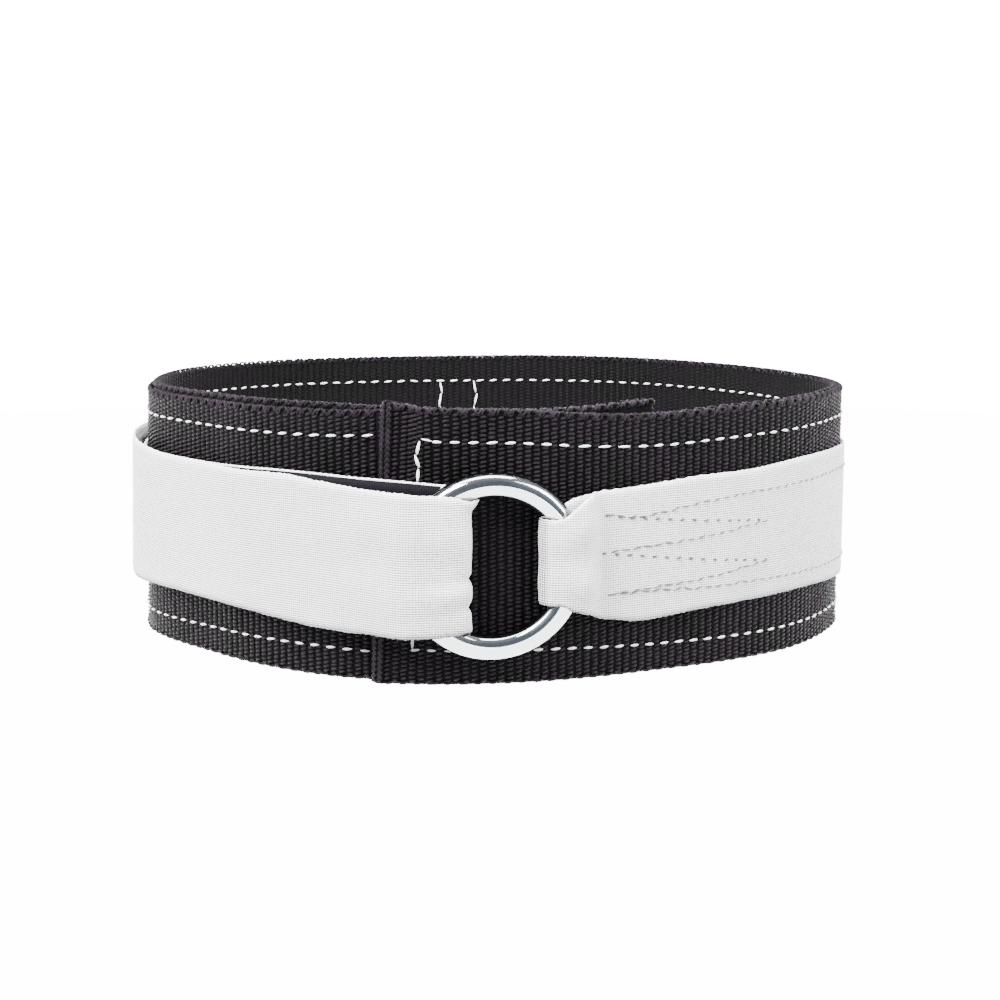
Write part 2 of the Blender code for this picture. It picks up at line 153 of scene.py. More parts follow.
# Lower and upper edge of the strap's under run, of the strap where it lies on the belt, and of its tail
UNDER_ROWS = table(
    "angle bottom top",
    (279, 0.0320, 0.0655), (282, 0.0302, 0.0697), (284, 0.0287, 0.0717), (287, 0.0266, 0.0715),
    (300, 0.0236, 0.0738), (310, 0.0246, 0.0748),
)
BASE_ROWS = table(
    "angle bottom top",
    (286, 0.0241, 0.0720), (294, 0.0216, 0.0730), (304, 0.0235, 0.0751), (309, 0.0242, 0.0757),
    (315, 0.0243, 0.0757), (322, 0.0248, 0.0772), (330, 0.0249, 0.0781), (347, 0.0224, 0.0778),
    (380, 0.0210, 0.0776), (480, 0.0212, 0.0774), (545, 0.0226, 0.0772), (575, 0.0234, 0.0772),
    (597, 0.0224, 0.0784), (612, 0.0222, 0.0776), (624, 0.0230, 0.0752),
)
TAIL_ROWS = table(
    "angle bottom top",
    (510, 0.0238, 0.0812), (545, 0.0240, 0.0819), (556, 0.0236, 0.0812), (563, 0.0240, 0.0793),
    (569, 0.0245, 0.0786), (578, 0.0243, 0.0781), (588, 0.0236, 0.0773), (596, 0.0220, 0.0776),
    (604, 0.0209, 0.0760), (612, 0.0215, 0.0747),
)

# The strap through the ring, first in the hole and then in front: place along the ring's middle plane
# and in front of it (minus) or behind it (plus), lower and upper edge, and how deep the gathers are
RIGHT_TURN, *RIGHT_FRONT = table(
    "along behind bottom top gather",
    (0.0240, 0.0000, 0.0320, 0.0636, 0.0003), (0.0250, -0.0059, 0.0318, 0.0641, 0.0004),
    (0.0292, -0.0060, 0.0297, 0.0672, 0.0007), (0.0332, -0.0052, 0.0285, 0.0703, 0.0010),
    (0.0360, -0.0020, 0.0276, 0.0716, 0.0010), (0.0378, 0.0030, 0.0261, 0.0720, 0.0007),
)
LEFT_TURN, *LEFT_FRONT = table(
    "along behind bottom top gather",
    (-0.0118, 0.0000, 0.0233, 0.0713, -0.0003), (-0.0136, -0.0058, 0.0228, 0.0728, -0.0006),
    (-0.0200, -0.0059, 0.0219, 0.0735, -0.0008), (-0.0260, -0.0058, 0.0217, 0.0738, -0.0006),
    (-0.0300, -0.0058, 0.0218, 0.0741, -0.0004),
)
TURN_FACETS = 6
RIGHT_TIP = 0.0062
LEFT_TIP = 0.0030
TAIL_GATHERS = ((0.0, -0.0004), (0.25, -0.0006), (0.5, -0.0003), (0.75, 0.0))

# How the tapes sit inside the strap's edges
LOOP_TAPE_MARGIN = 0.0003
HOOK_TAPE_MARGIN = 0.0020

# A place on a path: plan point, lower and upper edge, how far the upper edge leans, depth of gathers
Station = namedtuple("Station", "at bottom top lean gather", defaults=(0.0, 0.0))


def cubic(t, first, start, last, end, run=1.0):
    """Curve from a first to a last value with a slope at each, at shares t of a run."""
    return (
        (2 * t**3 - 3 * t**2 + 1) * first
        + (t**3 - 2 * t**2 + t) * run * start
        + (3 * t**2 - 2 * t**3) * last
        + (t**3 - t**2) * run * end
    )


def smooth(rows, column, angle):
    """Value of a column at an angle, on a smooth curve through the rows."""
    last = len(rows) - 1
    angle = min(max(angle, rows[0].angle), rows[last].angle)
    i = max(k for k in range(last) if rows[k].angle <= angle)
    nearest = rows[max(i - 1, 0)], rows[i], rows[i + 1], rows[min(i + 2, last)]
    at = [row.angle for row in nearest]
    value = [getattr(row, column) for row in nearest]
    run = at[2] - at[1]
    start = (value[2] - value[0]) / (at[2] - at[0]) * run
    end = (value[3] - value[1]) / (at[3] - at[1]) * run
    return cubic((angle - at[1]) / run, value[1], start, value[2], end)


def unit(way):
    """Direction of length one in the plan."""
    return way / abs(way)


def wall_radius(angle):
    """Radius of the belt's outer face. Past one turn it is the lap inside the hem."""
    if angle <= HEM + 360:
        return smooth(WALL_ROWS, "radius", angle)
    return smooth(WALL_ROWS, "radius", angle - 360) - smooth(LAP_ROWS, "depth", angle)


def seat_radius(angle):
    """Radius of what the strap lies on: the belt, with a ramp that climbs the hem."""
    if angle <= CLIMB_FOOT:
        return wall_radius(angle)
    ramp = CLIMB_TOP - CLIMB_FOOT
    if angle < CLIMB_TOP:
        share = (angle - CLIMB_FOOT) / ramp
        return wall_radius(CLIMB_FOOT) * (1 - share) + (wall_radius(HEM) + FOLD_BEAD) * share
    return wall_radius(angle - 360) + FOLD_BEAD * max(0.0, 1 - (angle - CLIMB_TOP) / ramp)


def place(radius_at, angle, lift):
    """Point that stands off a round curve by a lift, along the curve's own normal."""
    small = 0.5
    at, ahead, behind = (
        rect(radius_at(turn), radians(turn)) for turn in (angle, angle + small, angle - small)
    )
    return at - 1j * lift * unit(ahead - behind)


def lean_at(at, angle):
    """How the upper edge stands in from the lower one, at full belt width."""
    if angle > WALL_ROWS[-1].angle:
        return 0.0
    return -smooth(WALL_ROWS, "lean", angle) * unit(at)


def angles(start, end):
    """Shared angles, so that the facets of neighbouring layers stay parallel, and both ends."""
    low, high = min(start, end), max(start, end)
    shared = range(int(low // STEP) * STEP, int(high) + STEP, STEP)
    run = [low] + [angle for angle in shared if low + 1 < angle < high - 1] + [high]
    return run if start < end else run[::-1]


def belt_station(angle, depth, top, slant=0.0):
    """Station on a ply whose middle is at a depth inside the belt's outer face."""
    at = place(wall_radius, angle, -depth)
    return Station(at, 0.0, top, lean_at(at, angle) + slant)


def belt_top(angle):
    """Height of the outer ply's upper edge."""
    return smooth(WALL_ROWS if angle <= HEM + 360 else LAP_ROWS, "top", angle)


def inner_top(angle):
    """Height of the inner ply's upper edge."""
    rise = smooth(WALL_ROWS, "rise", angle) if angle <= HEM + 360 else 0.0
    return belt_top(angle) + rise


def fold(angle, towards, slant):
    """Half round that takes the outer ply from its outer face to the inside, at a free end."""
    middle = angle - towards * FOLD_CENTRE
    centre = place(wall_radius, middle, -(PLY_THICKNESS + PLY_SPACING) / 2)
    out = unit(place(wall_radius, middle, 0.0) - centre)
    ahead = 1j * out * towards
    radius = PLY_SPACING / 2 + FOLD_BEAD
    turns = [pi / 2 - pi * k / FOLD_FACETS for k in range(FOLD_FACETS + 1)]
    return [
        Station(centre + radius * (cos(turn) * ahead + sin(turn) * out), 0.0, belt_top(angle), slant)
        for turn in turns
    ]


def outer_ply_stations():
    """From the edge turned in at the hem, round the loop, to the edge turned in at the lap's end."""
    outer, inner = PLY_THICKNESS / 2, PLY_THICKNESS / 2 + PLY_SPACING
    slant = HEM_SLANT * unit(place(wall_radius, HEM + 3, 0.0) - place(wall_radius, HEM + 1, 0.0))
    groove = HEM + FOLD_GROOVE
    stations = [
        belt_station(HEM + HEM_TURNED_IN, inner, belt_top(HEM + HEM_TURNED_IN)),
        belt_station(groove, inner, belt_top(groove), slant),
        *reversed(fold(HEM, -1, slant)),
        belt_station(groove, outer, belt_top(groove), slant),
    ]
    groove = LAP_END - FOLD_GROOVE
    for angle in angles(HEM + STEP, LAP_END - STEP) + [groove]:
        stations.append(belt_station(angle, outer, belt_top(angle)))
    return stations + [
        *fold(LAP_END, 1, 0.0),
        belt_station(groove, inner, belt_top(groove)),
        belt_station(LAP_END - HEM_TURNED_IN, inner, belt_top(LAP_END)),
    ]


def inner_ply_stations():
    """Inside the outer ply, between the two edges that are turned in."""
    depth = PLY_THICKNESS / 2 + PLY_SPACING
    return [
        belt_station(angle, depth, inner_top(angle)) for angle in angles(INNER_PLY_START, INNER_PLY_END)
    ]


def strap_station(angle, lift, rows):
    """Station on the strap where it lies at a lift over the belt."""
    at = place(seat_radius, angle, lift)
    return Station(at, smooth(rows, "bottom", angle), smooth(rows, "top", angle), lean_at(at, angle))


def ring_point(along, behind):
    """Plan point from a place along the ring's middle plane and behind it."""
    return RING_MIDDLE + complex(along, behind) * RING_WAY


def ring_station(row):
    """Station on the strap where it passes the ring."""
    return Station(ring_point(row.along, row.behind), row.bottom, row.top, 0.0, row.gather)


def ring_turn(row, reach, station, front):
    """Half round through the ring, from a station behind the wire to the front of it."""
    behind = ((station.at - RING_MIDDLE) / RING_WAY).imag
    middle, half = (behind + front) / 2, (behind - front) / 2
    turns = [pi / 2 - pi * k / TURN_FACETS for k in range(1, TURN_FACETS)]
    return [
        ring_station(row._replace(along=row.along + reach * cos(turn), behind=middle + half * sin(turn)))
        for turn in turns
    ]


def second_turn(at):
    """Angle of a plan point, counted in the second turn round the loop."""
    return degrees(phase(at)) % 360 + 360


def tail_stations():
    """The tail, from the ring's left wire straight to the belt and round to its end."""
    left_wire = ring_point(-RING_RADIUS, 0.0)
    seated = place(seat_radius, TAIL_SEATED, TAIL_LIFT)
    off_wire = left_wire + 1j * WIRE_CLEAR * unit(seated - left_wire)
    stations = [ring_station(row) for row in LEFT_FRONT]
    for share, gather in TAIL_GATHERS:
        at = off_wire * (1 - share) + seated * share
        bottom, top = (smooth(TAIL_ROWS, edge, second_turn(at)) for edge in ("bottom", "top"))
        stations.append(Station(at, bottom, top, 0.0, gather))
    return stations + [
        strap_station(angle, TAIL_LIFT, TAIL_ROWS) for angle in angles(TAIL_SEATED, TAIL_END)
    ]


def strap_stations():
    """The whole strap, from the end of its under run to the end of its tail."""
    stations = [strap_station(angle, BASE_LIFT, UNDER_ROWS) for angle in UNDER_RUN]
    stations += ring_turn(RIGHT_TURN, -RIGHT_TIP, stations[-1], RIGHT_FRONT[0].behind)
    stations += [ring_station(row) for row in RIGHT_FRONT]
    stations += [strap_station(angle, OVER_LIFT, BASE_ROWS) for angle in OVER_RUN]
    for angle in (*angles(BASE_START, CLIMB_TOP - STEP / 2), *BEHIND_LEFT_WIRE):
        stations.append(strap_station(angle, BASE_LIFT, BASE_ROWS))
    stations += ring_turn(LEFT_TURN, LEFT_TIP, stations[-1], LEFT_FRONT[0].behind)
    return stations + tail_stations()


def loop_tape_stations():
    """The soft tape on the strap, from behind the tail's end to behind the ring's left wire."""
    stations = []
    for angle in (*angles(LOOP_TAPE_START, CLIMB_TOP - STEP / 2), *BEHIND_LEFT_WIRE[:-1]):
        station = strap_station(angle, LOOP_LIFT, BASE_ROWS)
        bottom, top = station.bottom + LOOP_TAPE_MARGIN, station.top - LOOP_TAPE_MARGIN
        stations.append(station._replace(bottom=bottom, top=top))
    return stations


def hook_tape_stations():
    """The hooked tape on the inside of the tail."""
    whole = tail_stations()
    first = len(LEFT_FRONT) + 2
    stations = []
    for station, normal in list(zip(whole, side_normals(whole)))[first:]:
        if second_turn(station.at) < HOOK_TAPE_END:
            break
        bottom, top = station.bottom + HOOK_TAPE_MARGIN, station.top - HOOK_TAPE_MARGIN
        at = station.at + normal * (TAIL_LIFT - HOOK_LIFT)
        stations.append(station._replace(at=at, bottom=bottom, top=top, gather=0.0))
    return stations


def side_normals(stations):
    """For each station, the normal on the right of the path, mitred so that thickness holds."""
    steps = [unit(b.at - a.at) for a, b in zip(stations, stations[1:])]
    normals = []
    for before, after in zip([steps[0]] + steps, steps + [steps[-1]]):
        mean = unit(before + after)
        normals.append(-1j * mean / (mean * after.conjugate()).real)
    return normals


RING_LOW, RING_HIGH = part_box("ring")
PLAN_SHIFT = complex(*((RING_LOW[k] + RING_HIGH[k]) / 2 for k in (0, 1))) - RING_MIDDLE


# Fine paths

Path = namedtuple("Path", "s x y nx ny bottom top lean_x lean_y gather marks")


def distances(points):
    """Distance of each point along a line of them."""
    return np.concatenate(([0.0], np.cumsum(np.hypot.reduce(np.diff(points, axis=0), axis=1))))


def units(ways):
    """Directions of length one."""
    return ways / np.linalg.norm(ways, axis=-1, keepdims=True)


def climb(value, start, run):
    """Zero up to a start, one past a run from it, straight between. A run below zero falls."""
    return np.clip((value - start) / run, 0, 1)


def trace(stations, step):
    """Evenly spaced points on a smooth curve through the stations, and each station's distance."""
    rows = []
    for at, bottom, top, lean, gather in stations:
        at += PLAN_SHIFT
        rows.append((at.real, at.imag, bottom, top, lean.real, lean.imag, gather))
    rows = np.array(rows)
    knots = distances(rows[:, :2])
    gaps = np.diff(knots)[:, None]
    slopes = np.diff(rows, axis=0) / gaps
    tangents = np.empty_like(rows)
    tangents[1:-1] = (slopes[:-1] * gaps[1:] + slopes[1:] * gaps[:-1]) / (gaps[:-1] + gaps[1:])
    tangents[0], tangents[-1] = slopes[0], slopes[-1]
    before, after = slopes[:-1, 2:4], slopes[1:, 2:4]
    level = before * after <= 0
    tangents[1:-1, 2:4] = np.where(level, 0.0, 2 * before * after / np.where(level, 1.0, before + after))

    def curve(at):
        i = np.clip(np.searchsorted(knots, at, side="right") - 1, 0, len(knots) - 2)
        t = (at - knots[i])[:, None] / gaps[i]
        return cubic(t, rows[i], tangents[i], rows[i + 1], tangents[i + 1], gaps[i])

    fine = np.linspace(0.0, knots[-1], int(knots[-1] / step * 8))
    run = distances(curve(fine)[:, :2])
    s = np.linspace(0.0, run[-1], int(round(run[-1] / step)) + 1)
    values = curve(np.interp(s, run, fine))
    ahead = units(np.gradient(values[:, :2], s, axis=0))
    return Path(s, *values[:, :2].T, ahead[:, 1], -ahead[:, 0], *values[:, 2:].T, np.interp(knots, fine, run))


def on_path(path, s, across, z):
    """Points at distances along a path, across it and up: numbers or arrays."""
    s, across, z = np.broadcast_arrays(s, across, z)
    x, y, nx, ny, lx, ly = (np.interp(s, path.s, v) for v in path[1:5] + path[7:9])
    share = z / BELT_WIDTH
    return np.stack([x + nx * across + lx * share, y + ny * across + ly * share, z], -1)


def frame_at(path, s):
    """Along, up and out directions of a path at a distance or distances along it."""
    nx, ny = np.interp(s, path.s, path.nx), np.interp(s, path.s, path.ny)
    out = units(np.stack([nx, ny, 0 * nx], -1))
    along = np.stack([-out[..., 1], out[..., 0], out[..., 2]], -1)
    return along, np.zeros_like(out) + (0.0, 0.0, 1.0), out


def angle_run(path, low, high):
    """Distances along a path where its angle round the belt, counted on past a turn, is in a range."""
    turned = np.unwrap(np.angle(path.x + 1j * path.y - PLAN_SHIFT))
    turned = np.degrees(turned - turned[0]) + degrees(turned[0]) % 360
    inside = np.flatnonzero((turned >= low) & (turned <= high))
    return path.s[inside[0]], path.s[inside[-1]]


# Meshes


def add_object(name, data):
    """New object in the scene."""
    added = bpy.data.objects.new(name, data)
    bpy.context.scene.collection.objects.link(added)
    return added


def make_piece(name, points, groups, uv, material):
    """Mesh object from points and groups of faces with equally many corners, facing outwards."""
    points = points.reshape(-1, 3)
    volume = 0.0
    for faces in groups:
        corners = points[faces]
        for k in range(1, faces.shape[1] - 1):
            volume += np.einsum("ij,ij->", corners[:, 0], np.cross(corners[:, k], corners[:, k + 1]))
    if volume < 0:
        groups = [faces[:, ::-1] for faces in groups]
    mesh = bpy.data.meshes.new(name)
    mesh.from_pydata(points.tolist(), [], [face for faces in groups for face in faces.tolist()])
    mesh.update()
    layer = mesh.uv_layers.new(name="cloth")
    corner = np.empty(len(mesh.loops), np.int32)
    mesh.loops.foreach_get("vertex_index", corner)
    layer.data.foreach_set("uv", uv.reshape(-1, 2).astype(np.float32)[corner].ravel())
    mesh.shade_smooth()
    mesh.materials.append(material)
    piece = add_object(name, mesh)
    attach(piece, "root")
    return piece


def tube_faces(columns, rows):
    """Quads of closed rings of points one after another, and the two end faces."""
    i = np.arange(columns - 1)[:, None] * rows
    j = np.arange(rows)[None, :]
    k = (j + 1) % rows
    quads = np.stack([i + j, i + k, i + k + rows, i + j + rows], -1).reshape(-1, 4)
    ends = np.stack([np.arange(rows)[::-1], (columns - 1) * rows + np.arange(rows)])
    return [quads, ends]


def band(name, path, across, z, material, node_slot):
    """Closed band along a path: rings of points across it, as arrays of columns by rows."""
    s = path.s[:, None]
    uv = np.stack(np.broadcast_arrays(s, z), -1)
    return make_piece(name, on_path(path, s, across, z), tube_faces(*z.shape), uv, material)


def copies(name, template, faces, origin, axes, material, shifts):
    """One mesh of many copies of a small closed shape, each with its own place, axes and size."""
    points = origin[:, None] + sum(template[..., k, None] * axis[:, None] for k, axis in enumerate(axes))
    count, corners = points.shape[:2]
    first = (np.arange(count) * corners)[:, None, None]
    groups = [(first + group[None]).reshape(-1, group.shape[1]) for group in faces]
    return make_piece(name, points, groups, template[..., :2] + shifts[:, None], material)


def tilted(tilt, along, up, out):
    """Axes turned by a tilt about the way out."""
    c, s = np.cos(tilt)[:, None], np.sin(tilt)[:, None]
    return c * along + s * up, c * up - s * along, out


def rings(middle, first, second, turn):
    """A ring of points round each middle, turned from its first direction to its second."""
    c, s = np.cos(turn)[None, :, None], np.sin(turn)[None, :, None]
    return middle[:, None] + c * first[:, None] + s * second[:, None]


def yarn(name, lines, material, sides=5):
    """Round yarns along open lines: the points of each, its out directions and its radius."""
    points, quads, ends, uv, first = [], [], [], [], 0
    turn = np.arange(sides) * 2 * pi / sides
    for line, out, radius in lines:
        tangent = units(np.gradient(line, axis=0))
        side = units(np.cross(tangent, out))
        points.append(rings(line, radius * np.cross(side, tangent), radius * side, turn))
        uv.append(np.stack(np.meshgrid(distances(line), turn * radius, indexing="ij"), -1))
        body, caps = tube_faces(len(line), sides)
        quads.append(body + first)
        ends.append(caps + first)
        first += len(line) * sides
    groups = [np.concatenate(quads), np.concatenate(ends)]
    return make_piece(name, np.concatenate(points), groups, np.concatenate(uv), material)


# Materials


class Value:
    """A shader value that Python's operators work on."""

    def __init__(self, finish, socket):
        self.finish = finish
        self.socket = socket

    def __add__(self, other):
        return self.finish.maths("ADD", self, other)

    def __sub__(self, other):
        return self.finish.maths("SUBTRACT", self, other)

    def __rsub__(self, other):
        return self.finish.maths("SUBTRACT", other, self)

    def __mul__(self, other):
        return self.finish.maths("MULTIPLY", self, other)

    __radd__ = __add__
    __rmul__ = __mul__


class Finish:
    """A surface under construction: a Principled surface and the nodes that feed it."""

    def __init__(self, name, colour, roughness, metallic=0.0, **constants):
        self.material = bpy.data.materials.new(name)
        self.material.use_nodes = True
        self.tree = self.material.node_tree
        self.surface = self.tree.nodes["Principled BSDF"]
        self.surface.inputs["Base Color"].default_value = (*colour, 1.0)
        self.surface.inputs["Roughness"].default_value = roughness
        self.surface.inputs["Metallic"].default_value = metallic
        for socket, value in constants.items():
            self.surface.inputs[socket.replace("_", " ")].default_value = value

    def node(self, kind, settings, sockets):
        """A node of a type, with its settings first and then the values or links of its sockets."""
        node = self.tree.nodes.new(kind)
        for setting, value in settings.items():
            setattr(node, setting, value)
        for socket, value in sockets.items():
            if isinstance(value, Value):
                self.tree.links.new(value.socket, node.inputs[socket])
            else:
                node.inputs[socket].default_value = (*value, 1.0) if isinstance(value, tuple) else value
        return node

    def maths(self, operation, *values):
        node = self.node("ShaderNodeMath", {"operation": operation}, dict(enumerate(values)))
        return Value(self, node.outputs[0])

    def wave(self, value, length):
        """Sine wave of a value, with a length from crest to crest."""
        return self.maths("SINE", value * (2 * pi / length))

    def cloth_place(self):
        """Distance along the cloth and across it, in metres."""
        cloth = self.node("ShaderNodeUVMap", {"uv_map": "cloth"}, {})
        parts = self.node("ShaderNodeSeparateXYZ", {}, {0: Value(self, cloth.outputs[0])})
        return Value(self, parts.outputs[0]), Value(self, parts.outputs[1])

    def cloth_point(self, along, across):
        return Value(self, self.node("ShaderNodeCombineXYZ", {}, {0: along, 1: across}).outputs[0])

    def object_point(self):
        return Value(self, self.node("ShaderNodeTexCoord", {}, {}).outputs["Object"])

    def noise(self, point, scale, detail=2.0, roughness=0.5):
        sockets = {"Vector": point, "Scale": scale, "Detail": detail, "Roughness": roughness}
        return Value(self, self.node("ShaderNodeTexNoise", {}, sockets).outputs[0])

    def ramp(self, value, low, high, out_low=0.0, out_high=1.0):
        """Soft step of a value between two ends."""
        settings = {"clamp": True, "interpolation_type": "SMOOTHSTEP"}
        sockets = {0: value, 1: low, 2: high, 3: out_low, 4: out_high}
        return Value(self, self.node("ShaderNodeMapRange", settings, sockets).outputs[0])

    def mix(self, share, first, second):
        """Colour between two colours, each a tuple or a value."""
        node = self.node("ShaderNodeMix", {"data_type": "RGBA"}, {0: share, 6: first, 7: second})
        return Value(self, node.outputs[2])

    def feed(self, socket, value):
        self.tree.links.new(value.socket, self.surface.inputs[socket])

    def bump(self, height, strength, depth):
        sockets = {"Strength": strength, "Distance": depth, "Height": height}
        self.feed("Normal", Value(self, self.node("ShaderNodeBump", {}, sockets).outputs[0]))


def scaled(colour, share):
    """A colour made darker or lighter."""
    return tuple(share * c for c in colour)


def webbing_finish(name, settings, share, shine, weave):
    """Spun black yarn: fine fibres along each pick, a slow drift of tint, pale flecks that are partly the
    yarn's own tone and partly painted highlights, and as much of the picks' relief as the mesh leaves out."""
    # The share scales the black and its tint; a share below one is painted shade
    black, tint = scaled(settings.colour, share), scaled(settings.tint, share)
    finish = Finish(name, black, 0.45, Specular_IOR_Level=shine * settings.gloss)
    along, across = finish.cloth_place()
    point = finish.object_point()
    drift = finish.ramp(finish.noise(point, scale=38.0, detail=3.0), 0.35, 0.65)
    grain = finish.noise(point, scale=900.0, roughness=0.6)
    fleck_highlight = finish.ramp(grain, 0.40, 0.72)
    colour = finish.mix(drift, black, tint)
    # Pale flecks at random: partly the yarn's own tone, partly painted highlights on the picks
    finish.feed("Base Color", finish.mix(fleck_highlight * 0.5, colour, scaled(black, 3.2)))
    finish.feed("Roughness", 0.40 + 0.12 * drift)
    wander = finish.noise(finish.cloth_point(along * 0.25, across), scale=700.0)
    fibre = finish.wave(across + wander * 0.0006, settings.fibre)
    rib = finish.maths("FLOOR", along * (1 / settings.rib_pitch))
    pick = finish.maths("SINE", across * (2 * pi / settings.pick_pitch) + rib * pi)
    finish.bump(fibre * 0.35 + grain + pick * weave, strength=0.6, depth=0.00014)
    return finish.material


def binding_finish(name, settings):
    """Twisted black yarn at the webbing's edges."""
    black = tuple(settings.colour)
    finish = Finish(name, black, 0.55, Specular_IOR_Level=0.05)
    along, across = finish.cloth_place()
    twist = finish.wave(along * 1400.0 + across * 2600.0, 2.0)
    patch = finish.ramp(finish.noise(finish.object_point(), scale=140.0), 0.3, 0.7)
    finish.feed("Base Color", finish.mix(patch, black, scaled(settings.tint, 1.8)))
    finish.feed("Roughness", 0.48 + 0.14 * patch)
    finish.bump(twist, strength=0.6, depth=0.00008)
    return finish.material


def strap_finish(name, settings, fold):
    """Plain white weave: a grid of warp and weft with painted shade in the pores and hollows between them,
    and near-black painted shade in the pores where the strap folds and they open.
    """
    white, shade = tuple(settings.colour), tuple(settings.shade)
    open_reach, open_edge, fold_pore_shade = 0.0050, 0.0024, (0.012, 0.012, 0.013)
    finish = Finish(name, white, 0.72, Sheen_Weight=0.10, Sheen_Roughness=0.5, Specular_IOR_Level=0.3)
    along, across = finish.cloth_place()
    point = finish.object_point()
    wander = finish.noise(finish.cloth_point(along, across), scale=45.0) * 0.0009
    warp = finish.wave(along + wander, settings.warp_pitch)
    weft = finish.wave(across + wander, settings.weft_pitch)
    slub = finish.noise(finish.cloth_point(along * 0.15, across), scale=1300.0, detail=1.0)
    pick = finish.noise(finish.cloth_point(along, across * 0.15), scale=1300.0, detail=1.0)
    drift = finish.ramp(finish.noise(point, scale=22.0, detail=3.0), 0.3, 0.7)
    # Pores and the lines of warp and weft are mixed towards the shade colour: painted shade in the weave's
    # hollows, stronger in some patches than in others
    pore_shade_patches = finish.ramp(finish.noise(point, scale=75.0), 0.35, 0.65, 0.55, 1.0)
    pore_shade = finish.ramp(warp + weft + slub + pick, 0.9, 2.8) * pore_shade_patches
    line = finish.ramp(warp + slub, 0.6, 1.6) * 0.20 + finish.ramp(weft + pick, 0.6, 1.6) * 0.28
    colour = finish.mix(drift, white, scaled(white, 0.965))
    woven = finish.mix(finish.ramp(pore_shade * 0.95 + line * 1.5, 0.0, 1.0), colour, shade)
    # Near the fold round the right wire the pores turn almost black: the weave really opens there, and the
    # black inside it is painted shade
    away = finish.maths("ABSOLUTE", along - fold)
    opened_shade = finish.ramp(open_reach - away, 0.0, open_edge) * finish.ramp(warp + weft, -0.5, 0.4)
    finish.feed("Base Color", finish.mix(opened_shade, woven, fold_pore_shade))
    finish.feed("Roughness", 0.68 + 0.1 * drift)
    finish.bump((warp + weft) * -0.5 + slub * 0.6 + pick * 0.6, strength=0.8, depth=0.00020)
    return finish.material


def thread_finish(name, colour, dark):
    """Twisted sewing thread with fine plies, darkened in the grooves between them as painted shade and in
    random spots of soil.
    """
    finish = Finish(name, tuple(colour), 0.55, Sheen_Weight=0.15)
    along, across = finish.cloth_place()
    plies = finish.wave(along + across * 1.6, 0.0009)
    soil = finish.ramp(finish.noise(finish.object_point(), scale=420.0), 0.35, 0.75)
    # The grooves between the plies are darkened: painted shade. The soil is random dirt
    groove = finish.ramp(plies, -1.0, -0.2, 0.55, 0.0)
    finish.feed("Base Color", finish.mix(groove + soil * 0.12, tuple(colour), dark))
    finish.bump(plies, strength=0.5, depth=0.0001)
    return finish.material


def tape_finish(name, colour, pitch, depth):
    """Black touch tape: close rows of pile or hooks, painted lighter where they stand high as a painted
    highlight.
    """
    colour = tuple(colour)
    finish = Finish(name, colour, 0.8, Specular_IOR_Level=0.04)
    along, across = finish.cloth_place()
    rows, tufts = finish.wave(along, pitch), finish.wave(across, pitch * 1.3)
    fluff = finish.noise(finish.object_point(), scale=1300.0, detail=3.0, roughness=0.7)
    height = rows * 0.6 + tufts * 0.25 + fluff * 0.7
    # Colour follows the relief: the high rows, tufts and fluff are painted lighter, a painted highlight
    finish.feed("Base Color", finish.mix(finish.ramp(height, 0.0, 1.1), colour, scaled(colour, 3.2)))
    finish.feed("Roughness", finish.ramp(fluff, 0.3, 0.7, 0.72, 0.9))
    finish.bump(height, 0.7, depth)
    return finish.material


def steel_finish(name, settings):
    """Bright plated wire: a faint polishing haze and a few dull patches."""
    tone = tuple(settings.colour)
    finish = Finish(name, tone, 0.10, 1.0)
    point = finish.object_point()
    patch = finish.ramp(finish.noise(point, scale=60.0, detail=3.0), 0.35, 0.8)
    haze = finish.noise(point, scale=700.0, detail=4.0, roughness=0.65)
    finish.feed("Base Color", finish.mix(patch * 0.4, tone, scaled(tone, 0.86)))
    finish.feed("Roughness", 0.05 + 0.06 * patch + 0.03 * haze)
    finish.bump(haze + patch * 0.5, strength=0.06, depth=0.0002)
    return finish.material


# Settings

Length = partial(FloatProperty, unit="LENGTH", precision=5)
Power = partial(FloatProperty, unit="POWER")
Colour = partial(FloatVectorProperty, subtype="COLOR")


class WebbingSettings(bpy.types.PropertyGroup):
    rib_pitch: Length(name="Rib pitch", description="Distance between the upright ribs", default=0.00332)
    pick_pitch: Length(name="Pick pitch", description="Height of one pick in a rib", default=0.00162)
    pick_rise: Length(name="Pick rise", description="How far a pick stands out", default=0.00088)
    binding_radius: Length(name="Edge yarn radius", description="Radius of the yarns round the edges",
                           default=0.00048)
    fibre: Length(name="Fibre pitch", description="Distance between the fibres in a pick", default=0.00034)
    gloss: FloatProperty(name="Gloss", description="How much light the yarn mirrors", default=0.045)
    colour: Colour(name="Black", description="Colour of the yarn", default=(0.0032, 0.0028, 0.0032))
    tint: Colour(name="Tint", description="Colour that the black drifts to",
                 default=(0.0064, 0.0043, 0.0066))


class StitchSettings(bpy.types.PropertyGroup):
    pitch: Length(name="Stitch pitch", description="Distance between two stitches of a row",
                  default=0.00677)
    length: Length(name="Stitch length", description="Length of thread that shows", default=0.0039)
    width: Length(name="Thread width", description="Width of the thread where it shows", default=0.00104)
    inset: Length(name="Row inset", description="Distance of an inside row from the webbing's edge",
                  default=0.0125)
    colour: Colour(name="White thread", description="Colour of the rows on the webbing",
                   default=(0.84, 0.83, 0.82))
    grey: Colour(name="Grey thread", description="Colour of the seams on the strap",
                 default=(0.014, 0.0135, 0.015))


